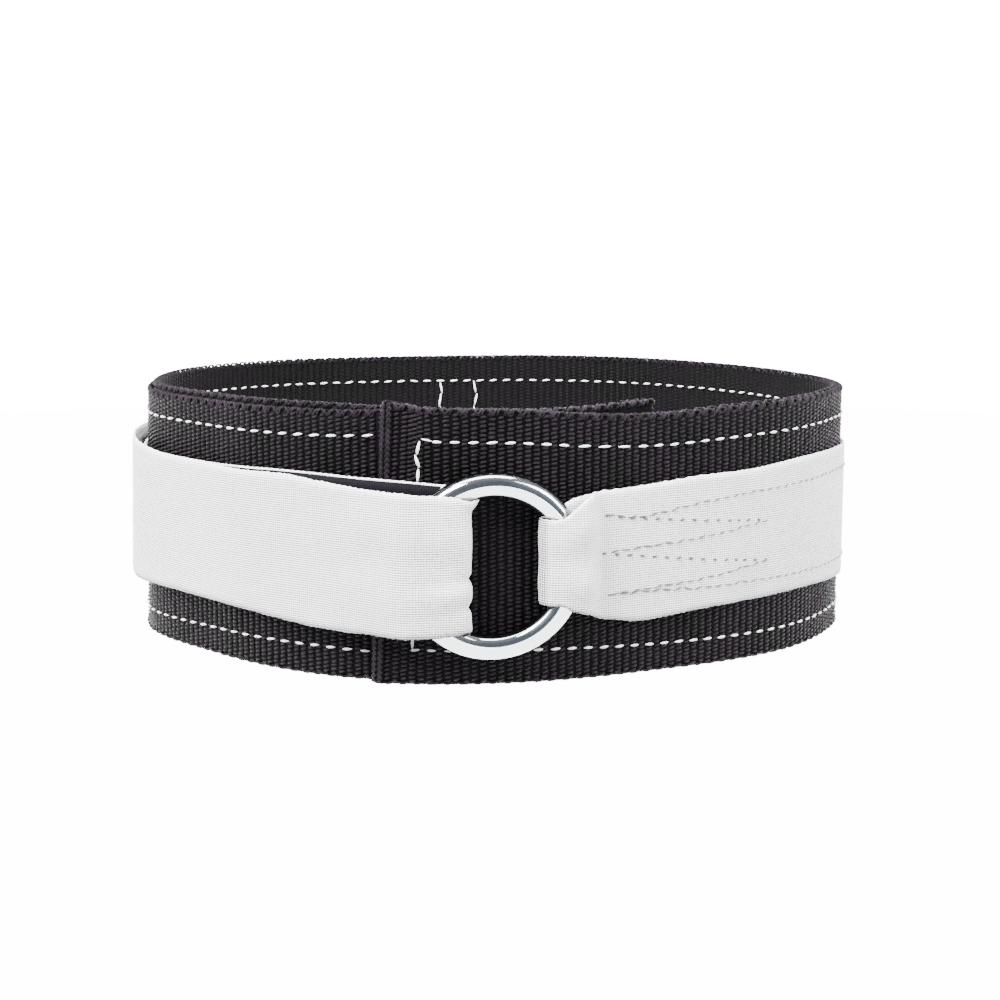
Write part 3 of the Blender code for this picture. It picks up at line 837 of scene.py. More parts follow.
class StrapSettings(bpy.types.PropertyGroup):
    cell: Length(name="Cell", description="Size of the strap's cells along it", default=0.0013)
    rows: IntProperty(name="Rows", description="Rows of cells across the strap", default=28, min=8)
    warp_pitch: Length(name="Warp pitch", description="Distance between warp crowns", default=0.00101)
    weft_pitch: Length(name="Weft pitch", description="Distance between weft crowns", default=0.00087)
    colour: Colour(name="White", description="Colour of the strap", default=(0.83, 0.815, 0.84))
    # Colour of the painted shade in the weave's pores and lines
    shade: Colour(name="Pores", description="Colour between the yarns", default=(0.30, 0.295, 0.31))
    tape_colour: Colour(name="Tape", description="Colour of the touch tape",
                        default=(0.0020, 0.0020, 0.0028))


class RingSettings(bpy.types.PropertyGroup):
    around: IntProperty(name="Segments round", description="Segments round the ring", default=168, min=24)
    wire: IntProperty(name="Segments of wire", description="Segments round the wire", default=40, min=8)
    colour: Colour(name="Plating", description="Colour of the plated steel", default=(0.28, 0.29, 0.30))


class StudioSettings(bpy.types.PropertyGroup):
    floor: Colour(name="Floor", description="Colour of the floor", default=(0.93, 0.93, 0.935))
    glow: FloatProperty(name="Floor glow", description="Light that the floor gives off", default=15.0)
    sky: FloatProperty(name="Room light", description="Strength of the light from all round", default=0.9)
    key: Power(name="Key light", description="Power of the two large lights", default=270.0)
    fill: Power(name="Fill light", description="Power of the small light", default=90.0)


# Webbing

PLY_FACE = PLY_THICKNESS / 2

# The hem's welt: which station it stands by and how far past it, its half width and half depth
WELT_STATION = 4
WELT_PAST = 0.0031
WELT_WIDE, WELT_DEEP = 0.0023, 0.0006
WELT_SIDES = 14
WELT_OVER_EDGE = 0.0013
WELT_CAP = 0.0020

# The yarns down the welt: how far from its middle each one runs, and its radius
HEM_YARNS = ((-0.0023, 0.00050), (-0.0014, 0.00050), (0.0006, 0.00036), (0.0014, 0.00036))
HEM_YARN_PITCH = 0.0021
HEM_YARN_CAP = 0.0022

# Heights of the rows of points on the plies' faces, how deep the outer ply's face lies on and between
# its ribs, and the inner ply's grooves between ribs and down their middles: depth and half width
OUTER_FACE_ROWS = (0.0012, 0.008, 0.018, 0.035, 0.055, 0.072, 0.085, 0.0935)
INNER_FACE_ROWS = (0.0012, 0.006, 0.014, 0.024, 0.036, 0.048, 0.060, 0.072, 0.082, 0.090, 0.097)
OUTER_ON_RIB, OUTER_BETWEEN = 0.00060, 0.00098
INNER_GROOVE = (0.00085, 0.00048)
INNER_MIDDLE_GROOVE = (0.00022, 0.0003)
INNER_GROOVE_FLOOR, INNER_FLOOR_REACH = 0.00018, 0.0009

# Where the picks of yarn end: below and above the strap, short of the edges, and before the lap's end
PICKS_BELOW, PICKS_ABOVE = 0.0300, 0.0705
FRONT_PICKS_END = 294
PICKS_TOP_MARGIN, PICKS_FOOT_MARGIN = 0.0016, 0.0012
ABOVE_ALL = 0.12
LAP_PICKS = 0.0162

# Size of a pick as a mean share of its pitch and the spread round that, and its slant in degrees
PICK_LONG, PICK_HIGH, PICK_SLANT = (0.94, 0.04), (0.86, 0.05), (13.0, 5.0)
RISE_SPREAD = 0.10
PICK_WANDER_ALONG, PICK_WANDER_UP = 0.00010, 0.00007

# The yarns round the edges: how far their middle lies from the edge, how far they swing up and down,
# and the step of their slow drift
TOP_YARNS_BELOW, TOP_YARNS_SWING = 0.00095, 0.00105
FOOT_YARNS_ABOVE, FOOT_YARNS_SWING = 0.00045, 0.00025
DRIFT_STEP = 0.004


def ply_bands(settings):
    """Fine paths of the two plies, with whole numbers of points to a rib."""
    outer_step, inner_step = settings.rib_pitch / 2, settings.rib_pitch / 6
    return trace(outer_ply_stations(), outer_step), trace(inner_ply_stations(), inner_step)


def hem_section(path, z):
    """Middle of the hem's welt at heights, with its along and out directions."""
    s = np.full(len(z), path.marks[WELT_STATION] + WELT_PAST)
    along, _, out = frame_at(path, s)
    return on_path(path, s, PLY_FACE - 0.0002, z), along, out


def make_hem(path, base, yarns):
    """The hem's rounded welt, and the twisted yarns that stand in columns down it."""
    top = float(np.interp(path.marks[WELT_STATION], path.s, path.top)) + WELT_OVER_EDGE
    cap = top - WELT_CAP
    rounded = top - WELT_CAP * (1 - np.sin(np.linspace(0, pi / 2, 6)))
    z = np.concatenate((np.arange(0.0006, cap, 0.0015), rounded))
    size = np.sqrt(np.clip(1 - (np.clip(z - cap, 0, None) / (WELT_CAP + 0.00005)) ** 2, 0.02, 1))[:, None]
    middle, along, out = hem_section(path, z)
    turn = np.arange(WELT_SIDES) * 2 * pi / WELT_SIDES
    points = rings(middle, WELT_WIDE * size * along, WELT_DEEP * size * out, turn)
    uv = np.stack(np.meshgrid(turn * 0.0016, z), -1)
    welt = make_piece("hem_welt", points, tube_faces(len(z), WELT_SIDES), uv, base)
    z = np.arange(0.0010, top - 0.0006, 0.00020)
    middle, along, out = hem_section(path, z)
    drop = climb(z, top - HEM_YARN_CAP, HEM_YARN_CAP) ** 2
    lines = []
    for k, (side, radius) in enumerate(HEM_YARNS):
        turn = (1 if k % 2 else -1) * (2 * pi * z / HEM_YARN_PITCH) + k * 1.3
        rise = 0.0007 * np.sqrt(1 - (side / 0.0024) ** 2) + 0.0001 - 0.0007 * drop + 0.00014 * np.sin(turn)
        shift = side * (1 - 0.35 * drop) + 0.00036 * np.cos(turn)
        lines.append((middle + shift[:, None] * along + rise[:, None] * out, out, radius))
    return welt, yarn("hem_yarns", lines, yarns)


def side_by_side(*blocks):
    """Blocks of columns side by side, each a number, a row or a whole block of rows."""
    blocks = [np.atleast_2d(block) for block in blocks]
    count = max(len(block) for block in blocks)
    return np.hstack([np.broadcast_to(block, (count, block.shape[1])) for block in blocks])


def outer_band(path):
    """Section of the outer ply under its picks, with shallow ribs on the face."""
    top = path.top[:, None]
    rib = np.where(np.arange(len(path.s)) % 2 == 1, OUTER_ON_RIB, OUTER_BETWEEN)[:, None]
    face_z = np.array([OUTER_FACE_ROWS]) * (top / BELT_WIDTH)
    back_z = face_z[:, 6::-3]
    z = side_by_side(face_z, top - 0.0013, top - 0.0007, top - 0.0013, back_z, 0.0013, 0.0004)
    across = side_by_side(PLY_FACE - rib + 0 * face_z, PLY_FACE - 0.0007, 0.0, 0.0004 - PLY_FACE,
                          0 * back_z - PLY_FACE, 0.0003 - PLY_FACE, 0.0)
    return across, z


def inner_band(path, settings):
    """Section of the inner ply, with rounded ribs and narrow grooves on the face inside the loop."""
    ribs = path.s / settings.rib_pitch
    away = np.abs(ribs - np.round(ribs)) * settings.rib_pitch
    from_middle = np.abs(ribs - np.floor(ribs) - 0.5) * settings.rib_pitch
    groove = INNER_GROOVE_FLOOR * (away < INNER_FLOOR_REACH)
    for (depth, width), at in ((INNER_GROOVE, away), (INNER_MIDDLE_GROOVE, from_middle)):
        groove = groove + depth * np.exp(-((at / width) ** 2))
    top = path.top[:, None]
    face_z = np.array([INNER_FACE_ROWS]) * ((top - 0.0018) / INNER_FACE_ROWS[-1])
    ripple = 0.00010 * np.sin(face_z * 300.0 + 1.7 * np.sin(path.s * 90.0)[:, None])
    face = -PLY_FACE + groove[:, None] + ripple + 0.00010
    z = side_by_side(0.0004, 0.0013, 0.05, top - 0.0013, top - 0.0007, top - 0.0010, face_z[:, ::-1])
    across = side_by_side(0.0, PLY_FACE - 0.0003, PLY_FACE, PLY_FACE - 0.0004, 0.0, 0.0006 - PLY_FACE,
                          face[:, ::-1])
    return across, z


def pick_template():
    """One pick of yarn on a rib: a low pointed pillow, closed below. It is one unit long and high."""
    turn = np.radians([0.0, 55.0, 125.0, 180.0, 235.0, 305.0])
    foot, shoulder = (
        np.stack([np.cos(turn) * long, np.sin(turn) * high, np.full(6, rise)], -1)
        for long, high, rise in ((0.52, 0.60, -0.35), (0.34, 0.36, 0.62))
    )
    k = np.arange(6)
    following = (k + 1) % 6
    sides = np.stack([k, following, following + 6, k + 6], -1)
    tops = np.stack([k + 6, following + 6, np.full(6, 12)], -1)
    return np.concatenate([foot, shoulder, [[0.0, 0.0, 1.0]]]), [sides, tops, k[::-1][None]]


def picks(name, path, zones, settings, material, seed):
    """Picks of yarn on the ply's outer face: zones of distance along it and height."""
    chance = np.random.default_rng(seed)
    ribs = np.arange(int(path.s[-1] / settings.rib_pitch))
    levels = np.arange(int(0.107 / settings.pick_pitch) + 1)
    rib, level = (grid.ravel() for grid in np.meshgrid(ribs, levels, indexing="ij"))
    s = (rib + 0.5) * settings.rib_pitch
    top = np.interp(s, path.s, path.top)
    z = (level + 0.5 * (rib % 2) + 0.55) * settings.pick_pitch * (top / BELT_WIDTH)
    wanted = np.zeros(len(s), bool)
    for s0, s1, z0, z1 in zones:
        wanted |= (s >= s0) & (s < s1) & (z >= z0) & (z < z1)
    wanted &= (z < top - PICKS_TOP_MARGIN) & (z > PICKS_FOOT_MARGIN)
    count = int(wanted.sum())
    s = s[wanted] + chance.normal(0, PICK_WANDER_ALONG, count)
    z = z[wanted] + chance.normal(0, PICK_WANDER_UP, count)
    template, faces = pick_template()
    long = settings.rib_pitch * chance.normal(*PICK_LONG, count)
    high = settings.pick_pitch * chance.normal(*PICK_HIGH, count)
    rise = settings.pick_rise * chance.normal(1.0, RISE_SPREAD, count)
    sized = template[None] * np.stack([long, high, rise], -1)[:, None]
    axes = tilted(np.radians(chance.normal(*PICK_SLANT, count)), *frame_at(path, s))
    origin = on_path(path, s, PLY_FACE - settings.pick_rise + 0.00005, z)
    return copies(name, sized, faces, origin, axes, material, np.stack([s, z], -1))


def edge_yarns(name, path, at_top, turns, settings, material):
    """Yarns that wind round the ply's edge: hand, first turn, ribs to a turn and radius of each."""
    s = np.arange(0.0006, path.s[-1] - 0.0006, settings.rib_pitch / 6)
    drift_at = np.arange(0, path.s[-1] + DRIFT_STEP, DRIFT_STEP)
    _, up, out = frame_at(path, s)
    lines = []
    for hand, start, ribs, radius in turns:
        chance = np.random.default_rng(int(start * 10) + 3)
        wobble = np.interp(s, drift_at, chance.normal(0, 0.35, len(drift_at)))
        turn = hand * (2 * pi * s / (ribs * settings.rib_pitch) + start) + wobble
        if at_top:
            z = np.interp(s, path.s, path.top) - TOP_YARNS_BELOW + TOP_YARNS_SWING * np.sin(turn)
        else:
            z = FOOT_YARNS_ABOVE + radius + FOOT_YARNS_SWING * np.sin(turn)
        points = on_path(path, s, (PLY_FACE - radius * 0.35) * np.cos(turn), z)
        lines.append((points, np.cos(turn)[:, None] * out + np.sin(turn)[:, None] * up, radius))
    return yarn(name, lines, material)


def make_webbing(settings):
    outer, inner = ply_bands(settings)
    # The base ply, which the hem's welt also wears, and the inside of the loop get 0.3 of the black: painted
    # shade between the picks and inside the loop
    black = webbing_finish("black_webbing_base", settings, 0.3, 0.3, 0.3)
    yarn_black = webbing_finish("black_webbing_picks", settings, 1.0, 1.1, 0.0)
    shaded_inner_black = webbing_finish("black_webbing_inside", settings, 0.3, 0.62, 2.2)
    edge_black = binding_finish("black_edge_yarn", settings)
    outer_piece = band("outer_webbing", outer, *outer_band(outer), black, "webbing")
    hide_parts("outer_ply")
    inner_piece = band("inner_webbing", inner, *inner_band(inner, settings), shaded_inner_black, "webbing")
    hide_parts("inner_ply")
    hem, front_end = angle_run(outer, HEM, FRONT_PICKS_END)
    rest_end = angle_run(outer, FRONT_PICKS_END, HEM + 360.5)[1]
    end = outer.s[-1]
    zones = {
        "upper_picks": [(front_end, rest_end, PICKS_ABOVE, ABOVE_ALL)],
        "lower_picks": [(front_end, rest_end, 0.0, PICKS_BELOW)],
        "front_picks": [(hem - 0.004, front_end, 0.0, ABOVE_ALL), (end - LAP_PICKS, end, 0.0, ABOVE_ALL)],
    }
    pick_pieces = [
        picks(name, outer, zone, settings, yarn_black, seed)
        for seed, (name, zone) in enumerate(zones.items(), 11)
    ]
    radius = settings.binding_radius
    turns = ((1.0, 0.0, 1.7, radius), (-1.0, 1.1, 1.7, radius), (1.0, 3.4, 0.85, radius * 0.8))
    hem_pieces = make_hem(outer, black, edge_black)
    trims = [
        edge_yarns("outer_upper_edge", outer, True, turns, settings, edge_black),
        edge_yarns("outer_lower_edge", outer, False, turns[:2], settings, edge_black),
        edge_yarns("inner_upper_edge", inner, True, turns, settings, edge_black),
        edge_yarns("inner_lower_edge", inner, False, turns[:2], settings, edge_black),
    ]


# Stitches

# How far the rows on the outside run below the upper edge and above the ground
ROW_INSETS = table(
    "angle upper lower",
    (254, 0.0120, 0.0139), (270, 0.0120, 0.0132), (281, 0.0119, 0.0127), (288, 0.0119, 0.0120),
    (295, 0.0119, 0.0112), (314, 0.0118, 0.0104), (347, 0.0112, 0.0100), (500, 0.0100, 0.0097),
    (530, 0.0083, 0.0096), (545, 0.0090, 0.0095), (560, 0.0097, 0.0097), (580, 0.0098, 0.0112),
    (600, 0.0096, 0.0120), (610, 0.0092, 0.0114),
)
ROWS_MEET = 420

# Shares of the stitch pitch at distances: past the corner's top, past its foot, and from the start
TOP_PITCHES = ((0.0, 0.0100, 0.0120, 0.0540, 0.0545, 0.0865, 0.0870), (0.9, 0.9, 1.0, 1.0, 1.19, 1.19, 1.0))
FOOT_PITCHES = ((0.0015, 0.0030, 0.0500, 0.0520, 0.2200, 0.2700), (0.92, 0.982, 0.982, 0.96, 0.96, 1.0))
LEFT_TOP_PITCHES = ((0.70, 0.77), (1.0, 1.07))
LEFT_FOOT_PITCHES = ((0.70, 0.77), (1.0, 1.03))
EVEN_PITCHES = ((0.0,), (1.0,))

# The corner beside the hem: its two angles, and its upright stitches as shift along, height and lean
CORNER_TOP, CORNER_FOOT = 257.4, 256.4
TOP_UPRIGHTS = ((0.0007, 0.0893, 0.16), (0.0002, 0.0843, -0.14), (0.0006, 0.0794, 0.15),
                (0.0003, 0.0744, -0.10))
FOOT_UPRIGHTS = ((0.0, 0.0166, 0.03), (0.0, 0.0215, -0.05))

# The two short upright rows inside the back: x of each and the shift of its middle stitch, then height
# and lean of the three stitches
BACK_ROWS = ((-0.0300, 0.0006), (-0.0130, -0.0005))
BACK_UPRIGHTS = ((0.0, 0.0862, 0.12), (1.0, 0.0798, -0.15), (0.0, 0.0734, 0.10))


def stitch_template():
    """One stitch that shows: a lens of thread whose ends dip into the cloth, one unit long and wide."""
    sides = 7
    along, girth, dip = np.array([
        (-0.5, 0.20, -0.75), (-0.36, 0.62, -0.18), (-0.12, 1.0, 0.0),
        (0.14, 0.96, 0.0), (0.37, 0.60, -0.18), (0.5, 0.20, -0.75),
    ]).T[:, :, None]
    turn = np.arange(sides)[None] * 2 * pi / sides
    points = [along + 0 * turn, girth * np.cos(turn) / 2, girth * np.sin(turn) * 0.42 + dip / 2]
    return np.stack(points, -1).reshape(-1, 3), tube_faces(len(along), sides)


def stitches(name, places, material, seed):
    """Stitches at places: a centre, the way it runs, the way it faces, its length and width."""
    chance = np.random.default_rng(seed)
    count = len(places)
    centre, along, out, length, width = (np.array(column) for column in zip(*places))
    length = length * (1 + chance.normal(0, 0.03, count))
    template, faces = stitch_template()
    sized = template[None] * np.stack([length, width, width], -1)[:, None]
    along = units(along - out * np.einsum("ij,ij->i", along, out)[:, None])
    axes = tilted(chance.normal(0.05, 0.06, count), along, np.cross(out, along), out)
    shifts = chance.uniform(0, 1, (count, 2))
    copies(name, sized, faces, centre, axes, material, shifts)


def row_places(path, first, last, pitches, across, heights, settings, facing=1.0):
    """Places of a row of stitches from one distance along a ply to another, at shares of the pitch."""
    way = 1.0 if last > first else -1.0
    s, shares = [first], [float(np.interp(first, *pitches))]
    while (last - s[-1]) * way > shares[-1] * settings.pitch:
        s.append(s[-1] + way * shares[-1] * settings.pitch)
        shares.append(float(np.interp(s[-1], *pitches)))
    s = np.array(s)
    length = settings.length * np.minimum(shares, [shares[0]] + shares[:-1]) ** 1.3
    centre, ahead = (on_path(path, at, across, heights(at)) for at in (s, s + 0.0005))
    out = frame_at(path, s)[2] * facing
    return [(c, a - c, o, size, settings.width) for c, a, o, size in zip(centre, ahead, out, length)]


def lone_place(path, s, across, z, way, length, width, facing=1.0):
    """Place of one stitch that runs a way along the ply and up it."""
    along, up, out = frame_at(path, s)
    return on_path(path, s, across, z), way[0] * along + way[1] * up, out * facing, length, width


def outer_places(path, settings):
    """The rows on the outside, from the corner and from the hem to where they meet, and the corner."""

    def until(angle):
        return angle_run(path, HEM - 2, angle)[1]

    spots, upper_inset, lower_inset = np.array([(until(row.angle), *row[1:]) for row in ROW_INSETS]).T

    def upper(s):
        return np.interp(s, path.s, path.top) - np.interp(s, spots, upper_inset)

    def lower(s):
        return np.interp(s, spots, lower_inset)

    corner, foot, behind = until(CORNER_TOP), until(CORNER_FOOT), until(ROWS_MEET)
    hem = angle_run(path, HEM + 3, HEM + 359)[1]
    face = PLY_FACE + 0.00012
    places = []
    for start, pitches, heights in (
        (corner + 0.0085, (np.add(corner, TOP_PITCHES[0]), TOP_PITCHES[1]), upper),
        (foot + 0.0011, (np.add(foot, FOOT_PITCHES[0]), FOOT_PITCHES[1]), lower),
        (hem - 0.0045, LEFT_TOP_PITCHES, upper),
        (hem - 0.0065, LEFT_FOOT_PITCHES, lower),
    ):
        places += row_places(path, start, behind, pitches, face, heights, settings)
    for at, uprights in ((corner, TOP_UPRIGHTS), (foot, FOOT_UPRIGHTS)):
        for shift, z, lean in uprights:
            places.append(lone_place(path, at + shift, face, z, (lean, 1.0), 0.0052, settings.width * 1.15))
    at = corner + 0.0048
    slanted = lone_place(path, at, face, upper(at) + 0.0006, (1.0, -0.33), 0.0040, settings.width * 0.62)
    return places + [slanted]


def inner_places(path, settings):
    """The rows on the inside, and the two short upright rows at the back."""

    def upper(s):
        return np.interp(s, path.s, path.top) - settings.inset + 0.0010 * climb(s, 0.45, 0.30)

    def lower(s):
        return settings.inset

    inside = -(PLY_FACE + 0.00005)
    first, last = path.s[0] + 0.008, path.s[-1] - 0.008
    places = []
    for heights in (upper, lower):
        places += row_places(path, first, last, EVEN_PITCHES, inside, heights, settings, -1.0)
    back = angle_run(path, 360, 540)
    within = (path.s > back[0]) & (path.s < back[1])
    for x, wander in BACK_ROWS:
        s = np.interp(-x, PLAN_SHIFT.real - path.x[within], path.s[within])
        for share, z, lean in BACK_UPRIGHTS:
            at, width = s + wander * share, settings.width * 1.05
            places.append(lone_place(path, at, inside, z, (lean, 1.0), 0.0066, width, -1.0))
    return places


def make_belt_stitches(webbing, settings):
    outer, inner = ply_bands(webbing)
    # The darker colour is for painted shade in the thread's grooves, and for soil
    white = thread_finish("white_thread", settings.colour, (0.42, 0.41, 0.41))
    stitches("outer_stitches", outer_places(outer, settings), white, 21)
    stitches("inner_stitches", inner_places(inner, settings), white, 22)


# Strap and tapes

# Where the strap folds round the left wire: notches in its edge as share of its width, half width and
# depth, then fine folds as size, share of its width, how that drifts along the strap, and half width
FOLD_NOTCHES = ((0.40, 0.026, 0.0014), (0.185, 0.034, 0.0017))
FOLD_FANS = ((1.0, 0.40, -1.5, 0.035), (0.8, 0.20, -2.5, 0.04), (-0.7, 0.33, -2.0, 0.05),
             (-0.5, 0.62, 1.0, 0.10), (0.5, 0.83, -3.0, 0.04))
FAN_DEPTH = 0.00050
TOP_EAR, FOOT_EAR = 0.0034, 0.0006

# Creases across the strap past the right wire: distance, half width and height
CREASES = ((0.0165, 0.0018, -0.00045), (0.0235, 0.0032, 0.00035))

# Upper edge where the seam draws it in: from and to past the right wire, depth and pitch of the scallops
DRAWN_FROM, DRAWN_TO = 0.014, 0.095
SCALLOP_DEPTH, SCALLOP_PITCH = 0.00045, 0.0052

# Stitches of the seams on the strap: pitch, length and width, on lines that rise and that return
RISING = (0.0047, 0.0043, 0.00062)
RETURN = (0.0054, 0.0023, 0.00090)
SEAMS = (
    (RISING, ((286.9, 0.0632), (293.3, 0.0614), (299.0, 0.0630), (304.7, 0.0652), (310.5, 0.0664),
              (316.6, 0.0672), (326.1, 0.0682), (335.0, 0.0688), (343.1, 0.0690), (360.0, 0.0675),
              (430.0, 0.0672), (504.0, 0.0670))),
    (RISING, ((287.4, 0.0328), (295.4, 0.0329), (304.6, 0.0321), (314.4, 0.0320), (322.3, 0.0318),
              (339.0, 0.0309), (350.0, 0.0300), (430.0, 0.0312), (504.0, 0.0312))),
    (RETURN, ((286.9, 0.0632), (290.5, 0.0616), (319.5, 0.0552))),
    (RISING, ((319.5, 0.0552), (302.0, 0.0510), (286.4, 0.0489))),
    (RETURN, ((286.4, 0.0489), (289.5, 0.0478), (319.5, 0.0392))),
    (RISING, ((319.5, 0.0392), (303.0, 0.0350), (287.4, 0.0328))),
)

# The tapes: name, node, stations, name of the finish, pitch of its rows and depth of its relief
TAPES = (
    ("soft_tape", "loop_tape", loop_tape_stations, "soft_pile", 0.00066, 0.00016),
    ("hooked_tape", "hook_tape", hook_tape_stations, "hook_rows", 0.0012, 0.0003),
)
TAPE_CELL = 0.0012
TAPE_ROWS = 20


def wire_marks(path):
    """Distances along the strap where it goes round the ring's right and left wires."""
    return path.marks[len(UNDER_RUN) + 2], path.marks[-len(tail_stations()) - 3]


def strap_relief(path, share):
    """How the strap departs from its plain path: pleats, creases, folds, tape below and a slow wave."""
    s = path.s[:, None]
    right, left = wire_marks(path)

    def near(at, reach):
        return np.exp(-(((s - at) / reach) ** 2))

    def line(centre, width):
        return np.exp(-(((share - centre) / width) ** 2))

    pleat = path.gather[:, None] * (0.5 - 0.5 * np.cos(2 * pi * STRAP_PLEATS * share))
    wave = 0.00012 * np.sin(s * 46.0 + share * 2.2) * np.sin(s * 17.0 + 1.3)
    notch = near(left, 0.0055) * sum(depth * line(at, width) for at, width, depth in FOLD_NOTCHES)
    ear = -near(left, 0.0050) * (TOP_EAR * climb(share, 0.92, 0.07) + FOOT_EAR * climb(share, 0.06, -0.06))
    fan = FAN_DEPTH * near(left + 0.012, 0.011) * sum(
        size * line(at + (s - left) * drift, width) for size, at, drift, width in FOLD_FANS
    )
    crease = sum(height * near(right + past, width) for past, width, height in CREASES)
    turned = np.degrees(np.angle(path.x + 1j * path.y - PLAN_SHIFT)) % 360 + 360
    tape_end = path.s[(path.s > left) & (turned < HOOK_TAPE_END)][0]
    sunk = 0.00040 * climb(s, tape_end, 0.0016) * climb(s, tape_end + 0.030, -0.015)
    sunk = sunk * (0.4 + 0.6 * climb(share, 0.80, -0.1)) - 0.00025 * near(tape_end - 0.0006, 0.0009)
    return pleat + wave + notch + ear + fan + crease + sunk


def strap_band(path, settings):
    """Section of the strap: face rows, an edge point, back rows and an edge point."""
    share = np.linspace(0.0, 1.0, settings.rows)[None]
    relief = strap_relief(path, share)
    right, _ = wire_marks(path)
    chance = np.random.default_rng(31)
    fray = chance.normal(0, 0.00006, (2, len(path.s))) + 0.00011 * (-1.0) ** np.arange(len(path.s))
    drawn = climb(path.s, right + DRAWN_FROM, 0.004) * climb(path.s, right + DRAWN_TO, -0.02)
    fray[1] += drawn * SCALLOP_DEPTH * (np.sqrt(np.abs(np.sin(pi * path.s / SCALLOP_PITCH))) - 0.75)
    low, high = (path.bottom + fray[0])[:, None], (path.top + fray[1])[:, None]
    rows_z = low + (high - low) * share
    edge = np.minimum(share, 1 - share) * 0.056
    bead = 0.10 * np.exp(-(((edge - 0.0016) / 0.0008) ** 2)) - 0.35 * np.exp(-((edge / 0.0004) ** 2))
    thick = STRAP_THICKNESS / 2 * (1 + bead)
    across = np.hstack([relief + thick, relief[:, -1:], (relief - thick)[:, ::-1], relief[:, :1]])
    z = np.hstack([rows_z, high + 0.00022, rows_z[:, ::-1], low - 0.00022])
    return across, z


def make_strap(settings):
    path = trace(strap_stations(), settings.cell)
    white = strap_finish("white_strap_weave", settings, float(wire_marks(path)[0]) + 0.0012)
    piece = band("white_strap", path, *strap_band(path, settings), white, "strap")
    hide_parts("strap")


def seam_places(points, pitch, length, width):
    """Places of stitches on the strap's outside along a line of (angle, height) points."""
    face = STRAP_THICKNESS / 2 + 0.00022
    line = []
    for start, end in zip(points, points[1:]):
        count = max(2, int(abs(end[0] - start[0]) * 6) + 2)
        for angle, z in np.linspace(start, end, count)[:-1]:
            share = climb(angle, OVER_RUN[-1], BASE_START - OVER_RUN[-1])
            at = place(seat_radius, angle, OVER_LIFT * (1 - share) + BASE_LIFT * share + face)
            at += PLAN_SHIFT + lean_at(at, angle) * z / BELT_WIDTH
            line.append((at.real, at.imag, z))
    line = np.array(line)
    run = distances(line)
    at = np.arange(length / 2, run[-1] - length / 2, pitch)
    centre, ahead = (
        np.stack([np.interp(s, run, line[:, i]) for i in range(3)], -1) for s in (at, at + 0.0004)
    )
    out = units((centre - (PLAN_SHIFT.real, PLAN_SHIFT.imag, 0.0)) * (1.0, 1.0, 0.0))
    way = ahead - centre
    way[:, 2] += 0.00007 * (-1.0) ** np.arange(len(way))
    return [(c, w, o, length, width) for c, w, o in zip(centre, way, out)]


def make_strap_stitches(settings):
    # The darker colour is for painted shade in the thread's grooves, and for soil
    grey = thread_finish("grey_thread", settings.grey, (0.004, 0.004, 0.0045))
    places = []
    for sizes, points in SEAMS:
        places += seam_places(points, *sizes)
    stitches("strap_stitches", places, grey, 23)


def make_tapes(settings):
    for name, node, stations, finish, pitch, depth in TAPES:
        path = trace(stations(), TAPE_CELL)
        material = tape_finish(finish, settings.tape_colour, pitch, depth)
        share = np.linspace(0.0, 1.0, TAPE_ROWS)[None]
        ripple = np.random.default_rng(41).normal(0, 0.00005, (len(path.s), TAPE_ROWS))
        z = path.bottom[:, None] + (path.top - path.bottom)[:, None] * share
        half = TAPE_THICKNESS / 2
        across = np.hstack([half * 0.92 + ripple, 0.0001 - half + 0 * ripple])
        piece = band(name, path, across, np.hstack([z, z[:, ::-1]]), material, node)
        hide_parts(node)
        width = float(np.mean(path.top - path.bottom))


# Ring

WELD_REACH = 2.2
WELD_RISE = 0.00022


def make_ring(settings):
    """The ring: a torus of round wire with a low weld bead where the strap hides it."""
    bpy.ops.object.select_all(action="DESELECT")
    at = RING_MIDDLE + PLAN_SHIFT
    bpy.ops.mesh.primitive_torus_add(
        major_radius=RING_RADIUS, minor_radius=WIRE, major_segments=settings.around,
        minor_segments=settings.wire, location=(at.real, at.imag, RING_HEIGHT),
        rotation=(pi / 2, 0.0, radians(RING_TURN)),
    )
    ring = bpy.context.object
    ring.name = ring.data.name = "steel_ring"
    bpy.ops.object.mode_set(mode="EDIT")
    bpy.ops.mesh.select_mode(type="FACE")
    bpy.ops.mesh.select_all(action="DESELECT")
    bpy.ops.object.mode_set(mode="OBJECT")
    for face in ring.data.polygons:
        face.select = abs(degrees(atan2(face.center.y, face.center.x))) < WELD_REACH
    bpy.ops.object.mode_set(mode="EDIT")
    bpy.ops.transform.shrink_fatten(value=WELD_RISE)
    bpy.ops.mesh.vertices_smooth(factor=0.5, repeat=2)
    bpy.ops.object.mode_set(mode="OBJECT")
    bpy.ops.object.transform_apply(location=True, rotation=True, scale=True)
    bpy.ops.object.shade_smooth()
    ring.data.materials.clear()
    ring.data.materials.append(steel_finish("plated_steel_finish", settings))
    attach(ring, "root")
    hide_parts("ring")


# Studio

# The floor's profile: flat out to a radius, a quarter round up to a wall, and the wall's height
FLOOR_INNER, FLOOR_FLAT, FLOOR_ROUND, FLOOR_TOP = 0.9, 2.4, 1.2, 3.4
FLOOR_SIDES = 48

# Lights: name, place, point that it faces, size and which setting is its power
LAMPS = (
    ("key_light", (-0.9, -0.9, 1.5), (0, 0, 0.05), 1.1, "key"),
    ("fill_light", (1.2, -0.7, 0.9), (0, 0, 0.05), 1.0, "fill"),
    ("top_light", (0.0, 0.3, 1.8), (0, 0, 0.0), 1.6, "key"),
)

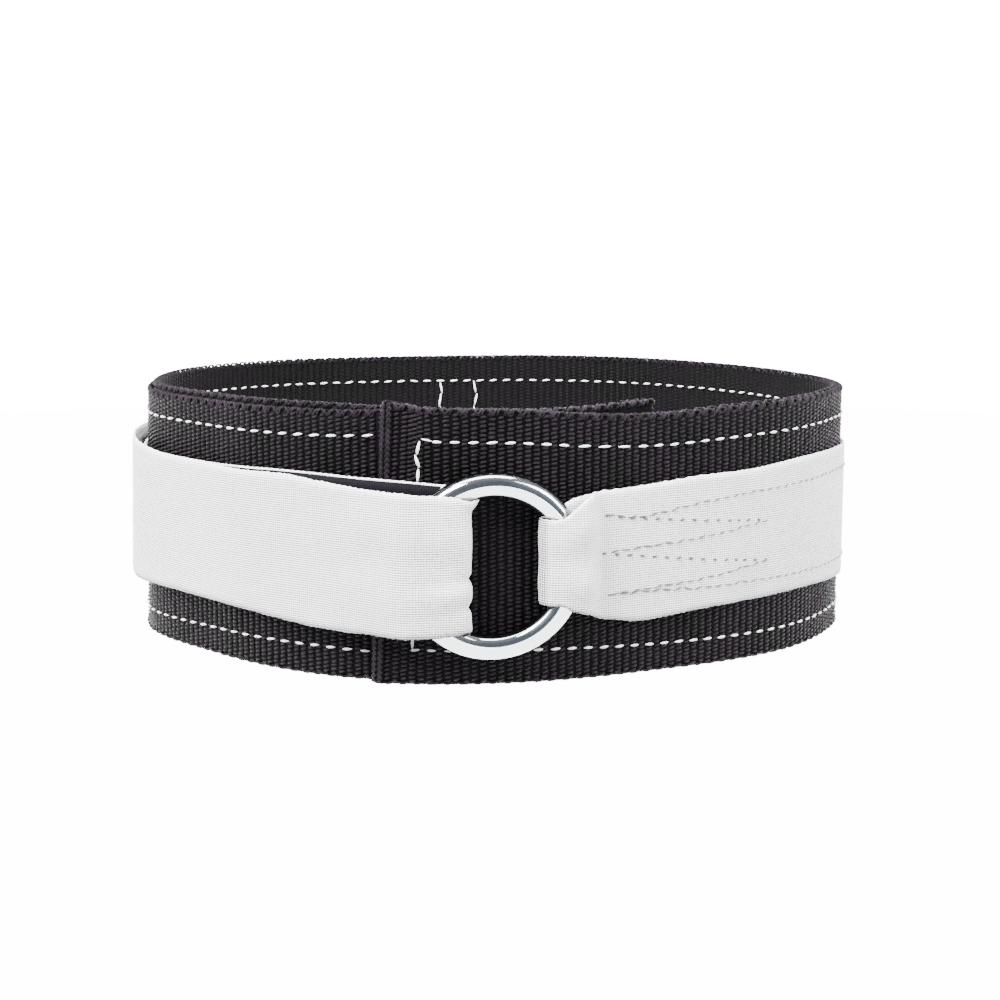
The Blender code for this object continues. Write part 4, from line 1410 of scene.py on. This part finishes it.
# Cards that the steel mirrors: name, place, size, turn, colour and glow
CARDS = (
    ("front_card", (0.0, -0.42, 0.30), (1.6, 0.47), (pi / 2, 0.0, 0.0), (0.028, 0.036, 0.048), 0.2),
    ("back_card", (0.0, 0.80, 0.90), (4.0, 1.6), (0.0, 0.0, 0.0), (0.14, 0.15, 0.17), 2.0),
)

# The camera: distance in front of the loop's middle, height, tilt down and lens
CAMERA_AWAY, CAMERA_HEIGHT, CAMERA_TILT, CAMERA_LENS = 0.78875, 0.1751, 9.13, 65.0


def make_card(name, centre, size, turn, colour, glow):
    """A flat card that only the steel sees."""
    bpy.ops.object.select_all(action="DESELECT")
    bpy.ops.mesh.primitive_plane_add(size=1.0, location=centre, rotation=turn)
    piece = bpy.context.object
    piece.name = piece.data.name = name
    piece.scale = (*size, 1.0)
    bpy.ops.object.transform_apply(location=True, rotation=True, scale=True)
    finish = Finish(name + "_finish", colour, 0.9, Emission_Strength=glow, Emission_Color=(*colour, 1.0))
    blotch = finish.ramp(finish.noise(finish.object_point(), scale=9.0, detail=3.0), 0.4, 0.7)
    finish.feed("Base Color", finish.mix(blotch, colour, scaled(colour, 2.2)))
    piece.data.materials.append(finish.material)
    piece.visible_camera = piece.visible_diffuse = piece.visible_shadow = False


def make_floor(settings):
    """Pale floor that sweeps up all round."""
    rim = [
        (FLOOR_FLAT + FLOOR_ROUND * sin(radians(a)), FLOOR_ROUND - FLOOR_ROUND * cos(radians(a)))
        for a in range(9, 91, 9)
    ]
    profile = [(FLOOR_INNER, 0.0), (FLOOR_FLAT, 0.0), *rim, (FLOOR_FLAT + FLOOR_ROUND, FLOOR_TOP)]
    sides = FLOOR_SIDES
    turns = [2 * pi * k / sides for k in range(sides)]
    points = [(r * cos(a), r * sin(a), z) for r, z in profile for a in turns]
    faces = [tuple(range(sides))]
    faces += [
        (k * sides + i, k * sides + (i + 1) % sides, (k + 1) * sides + (i + 1) % sides, (k + 1) * sides + i)
        for k in range(len(profile) - 1) for i in range(sides)
    ]
    mesh = bpy.data.meshes.new("studio_floor")
    mesh.from_pydata(points, [], faces)
    mesh.shade_smooth()
    pale = tuple(settings.floor)
    finish = Finish("studio_floor_finish", pale, 0.9, Specular_IOR_Level=0.1,
                    Emission_Strength=settings.glow, Emission_Color=(1.0, 1.0, 1.0, 1.0))
    mottle = finish.noise(finish.object_point(), scale=3.0)
    finish.feed("Base Color", finish.mix(mottle, pale, scaled(pale, 0.99)))
    mesh.materials.append(finish.material)
    floor = add_object("studio_floor", mesh)
    floor.visible_diffuse = False


def make_room_light(settings):
    """Light from all round, dim below and full from a little above the horizon."""
    world = bpy.data.worlds.new("studio")
    bpy.context.scene.world = world
    world.use_nodes = True
    tree = world.node_tree
    background = tree.nodes["Background"]
    background.inputs["Color"].default_value = (1.0, 1.0, 1.0, 1.0)
    way = tree.nodes.new("ShaderNodeTexCoord")
    parts = tree.nodes.new("ShaderNodeSeparateXYZ")
    rise = tree.nodes.new("ShaderNodeMapRange")
    tree.links.new(way.outputs["Generated"], parts.inputs[0])
    tree.links.new(parts.outputs["Z"], rise.inputs[0])
    for socket, value in ((1, -0.25), (2, 0.35), (3, 0.12), (4, settings.sky)):
        rise.inputs[socket].default_value = value
    tree.links.new(rise.outputs[0], background.inputs["Strength"])


def make_studio(settings):
    """Pale floor, soft lights, dark cards for the steel, and the camera."""
    make_floor(settings)
    make_room_light(settings)
    for name, place_at, aim, size, power in LAMPS:
        lamp = bpy.data.lights.new(name, "AREA")
        lamp.shape = "SQUARE"
        lamp.size = size
        lamp.energy = getattr(settings, power)
        light = add_object(name, lamp)
        run = np.array(aim) - np.array(place_at)
        light.location = place_at
        light.rotation_euler = (atan2(hypot(run[0], run[1]), -run[2]), 0.0, atan2(run[1], run[0]) - pi / 2)
    for card in CARDS:
        make_card(*card)
    lens = bpy.data.cameras.new("photo_view")
    lens.lens = CAMERA_LENS
    lens.sensor_width = 36.0
    camera = add_object("photo_view", lens)
    camera.location = (PLAN_SHIFT.real, PLAN_SHIFT.imag - CAMERA_AWAY, CAMERA_HEIGHT)
    camera.rotation_euler = (radians(90 - CAMERA_TILT), 0.0, 0.0)
    bpy.context.scene.camera = camera


# Operators and panel


class BELT_OT_webbing(bpy.types.Operator):
    """Make the two plies of black webbing, their picks of yarn and their edge yarns"""

    bl_idname = "belt.webbing"
    bl_label = "Webbing"

    def execute(self, context):
        make_webbing(context.scene.belt_webbing)
        return {"FINISHED"}


class BELT_OT_strap(bpy.types.Operator):
    """Make the white strap"""

    bl_idname = "belt.strap"
    bl_label = "Strap"

    def execute(self, context):
        make_strap(context.scene.belt_strap)
        return {"FINISHED"}


class BELT_OT_tapes(bpy.types.Operator):
    """Make the two halves of the touch tape"""

    bl_idname = "belt.tapes"
    bl_label = "Touch tapes"

    def execute(self, context):
        make_tapes(context.scene.belt_strap)
        return {"FINISHED"}


class BELT_OT_stitches(bpy.types.Operator):
    """Make the rows of stitches on the webbing and on the strap"""

    bl_idname = "belt.stitches"
    bl_label = "Stitches"

    def execute(self, context):
        make_belt_stitches(context.scene.belt_webbing, context.scene.belt_stitch)
        make_strap_stitches(context.scene.belt_stitch)
        return {"FINISHED"}


class BELT_OT_ring(bpy.types.Operator):
    """Make the steel ring"""

    bl_idname = "belt.ring"
    bl_label = "Ring"

    def execute(self, context):
        make_ring(context.scene.belt_ring)
        return {"FINISHED"}


class BELT_OT_studio(bpy.types.Operator):
    """Make the floor, the lights and the camera"""

    bl_idname = "belt.studio"
    bl_label = "Studio"

    def execute(self, context):
        make_studio(context.scene.belt_studio)
        return {"FINISHED"}


class BELT_PT_panel(bpy.types.Panel):
    """Lists the belt's pieces and their settings"""

    bl_idname = "BELT_PT_panel"
    bl_label = "Lifting belt"
    bl_space_type = "VIEW_3D"
    bl_region_type = "UI"
    bl_category = "Belt"

    def draw(self, context):
        scene = context.scene
        for operator, settings in (
            ("belt.webbing", scene.belt_webbing), ("belt.stitches", scene.belt_stitch),
            ("belt.strap", scene.belt_strap), ("belt.tapes", None), ("belt.ring", scene.belt_ring),
            ("belt.studio", scene.belt_studio),
        ):
            box = self.layout.box()
            box.operator(operator)
            if settings:
                for name in settings.__annotations__:
                    box.prop(settings, name)


SETTINGS = {
    "belt_webbing": WebbingSettings,
    "belt_stitch": StitchSettings,
    "belt_strap": StrapSettings,
    "belt_ring": RingSettings,
    "belt_studio": StudioSettings,
}
CLASSES = (
    *SETTINGS.values(), BELT_OT_webbing, BELT_OT_strap, BELT_OT_tapes, BELT_OT_stitches, BELT_OT_ring,
    BELT_OT_studio, BELT_PT_panel,
)


def register():
    for kind in CLASSES:
        bpy.utils.register_class(kind)
    for name, kind in SETTINGS.items():
        setattr(bpy.types.Scene, name, PointerProperty(type=kind))


def unregister():
    for name in SETTINGS:
        delattr(bpy.types.Scene, name)
    for kind in reversed(CLASSES):
        bpy.utils.unregister_class(kind)


def main():
    register()
    bpy.ops.belt.webbing()
    bpy.ops.belt.strap()
    bpy.ops.belt.tapes()
    bpy.ops.belt.stitches()
    bpy.ops.belt.ring()
    bpy.ops.belt.studio()


if __name__ == "__main__":
    main()
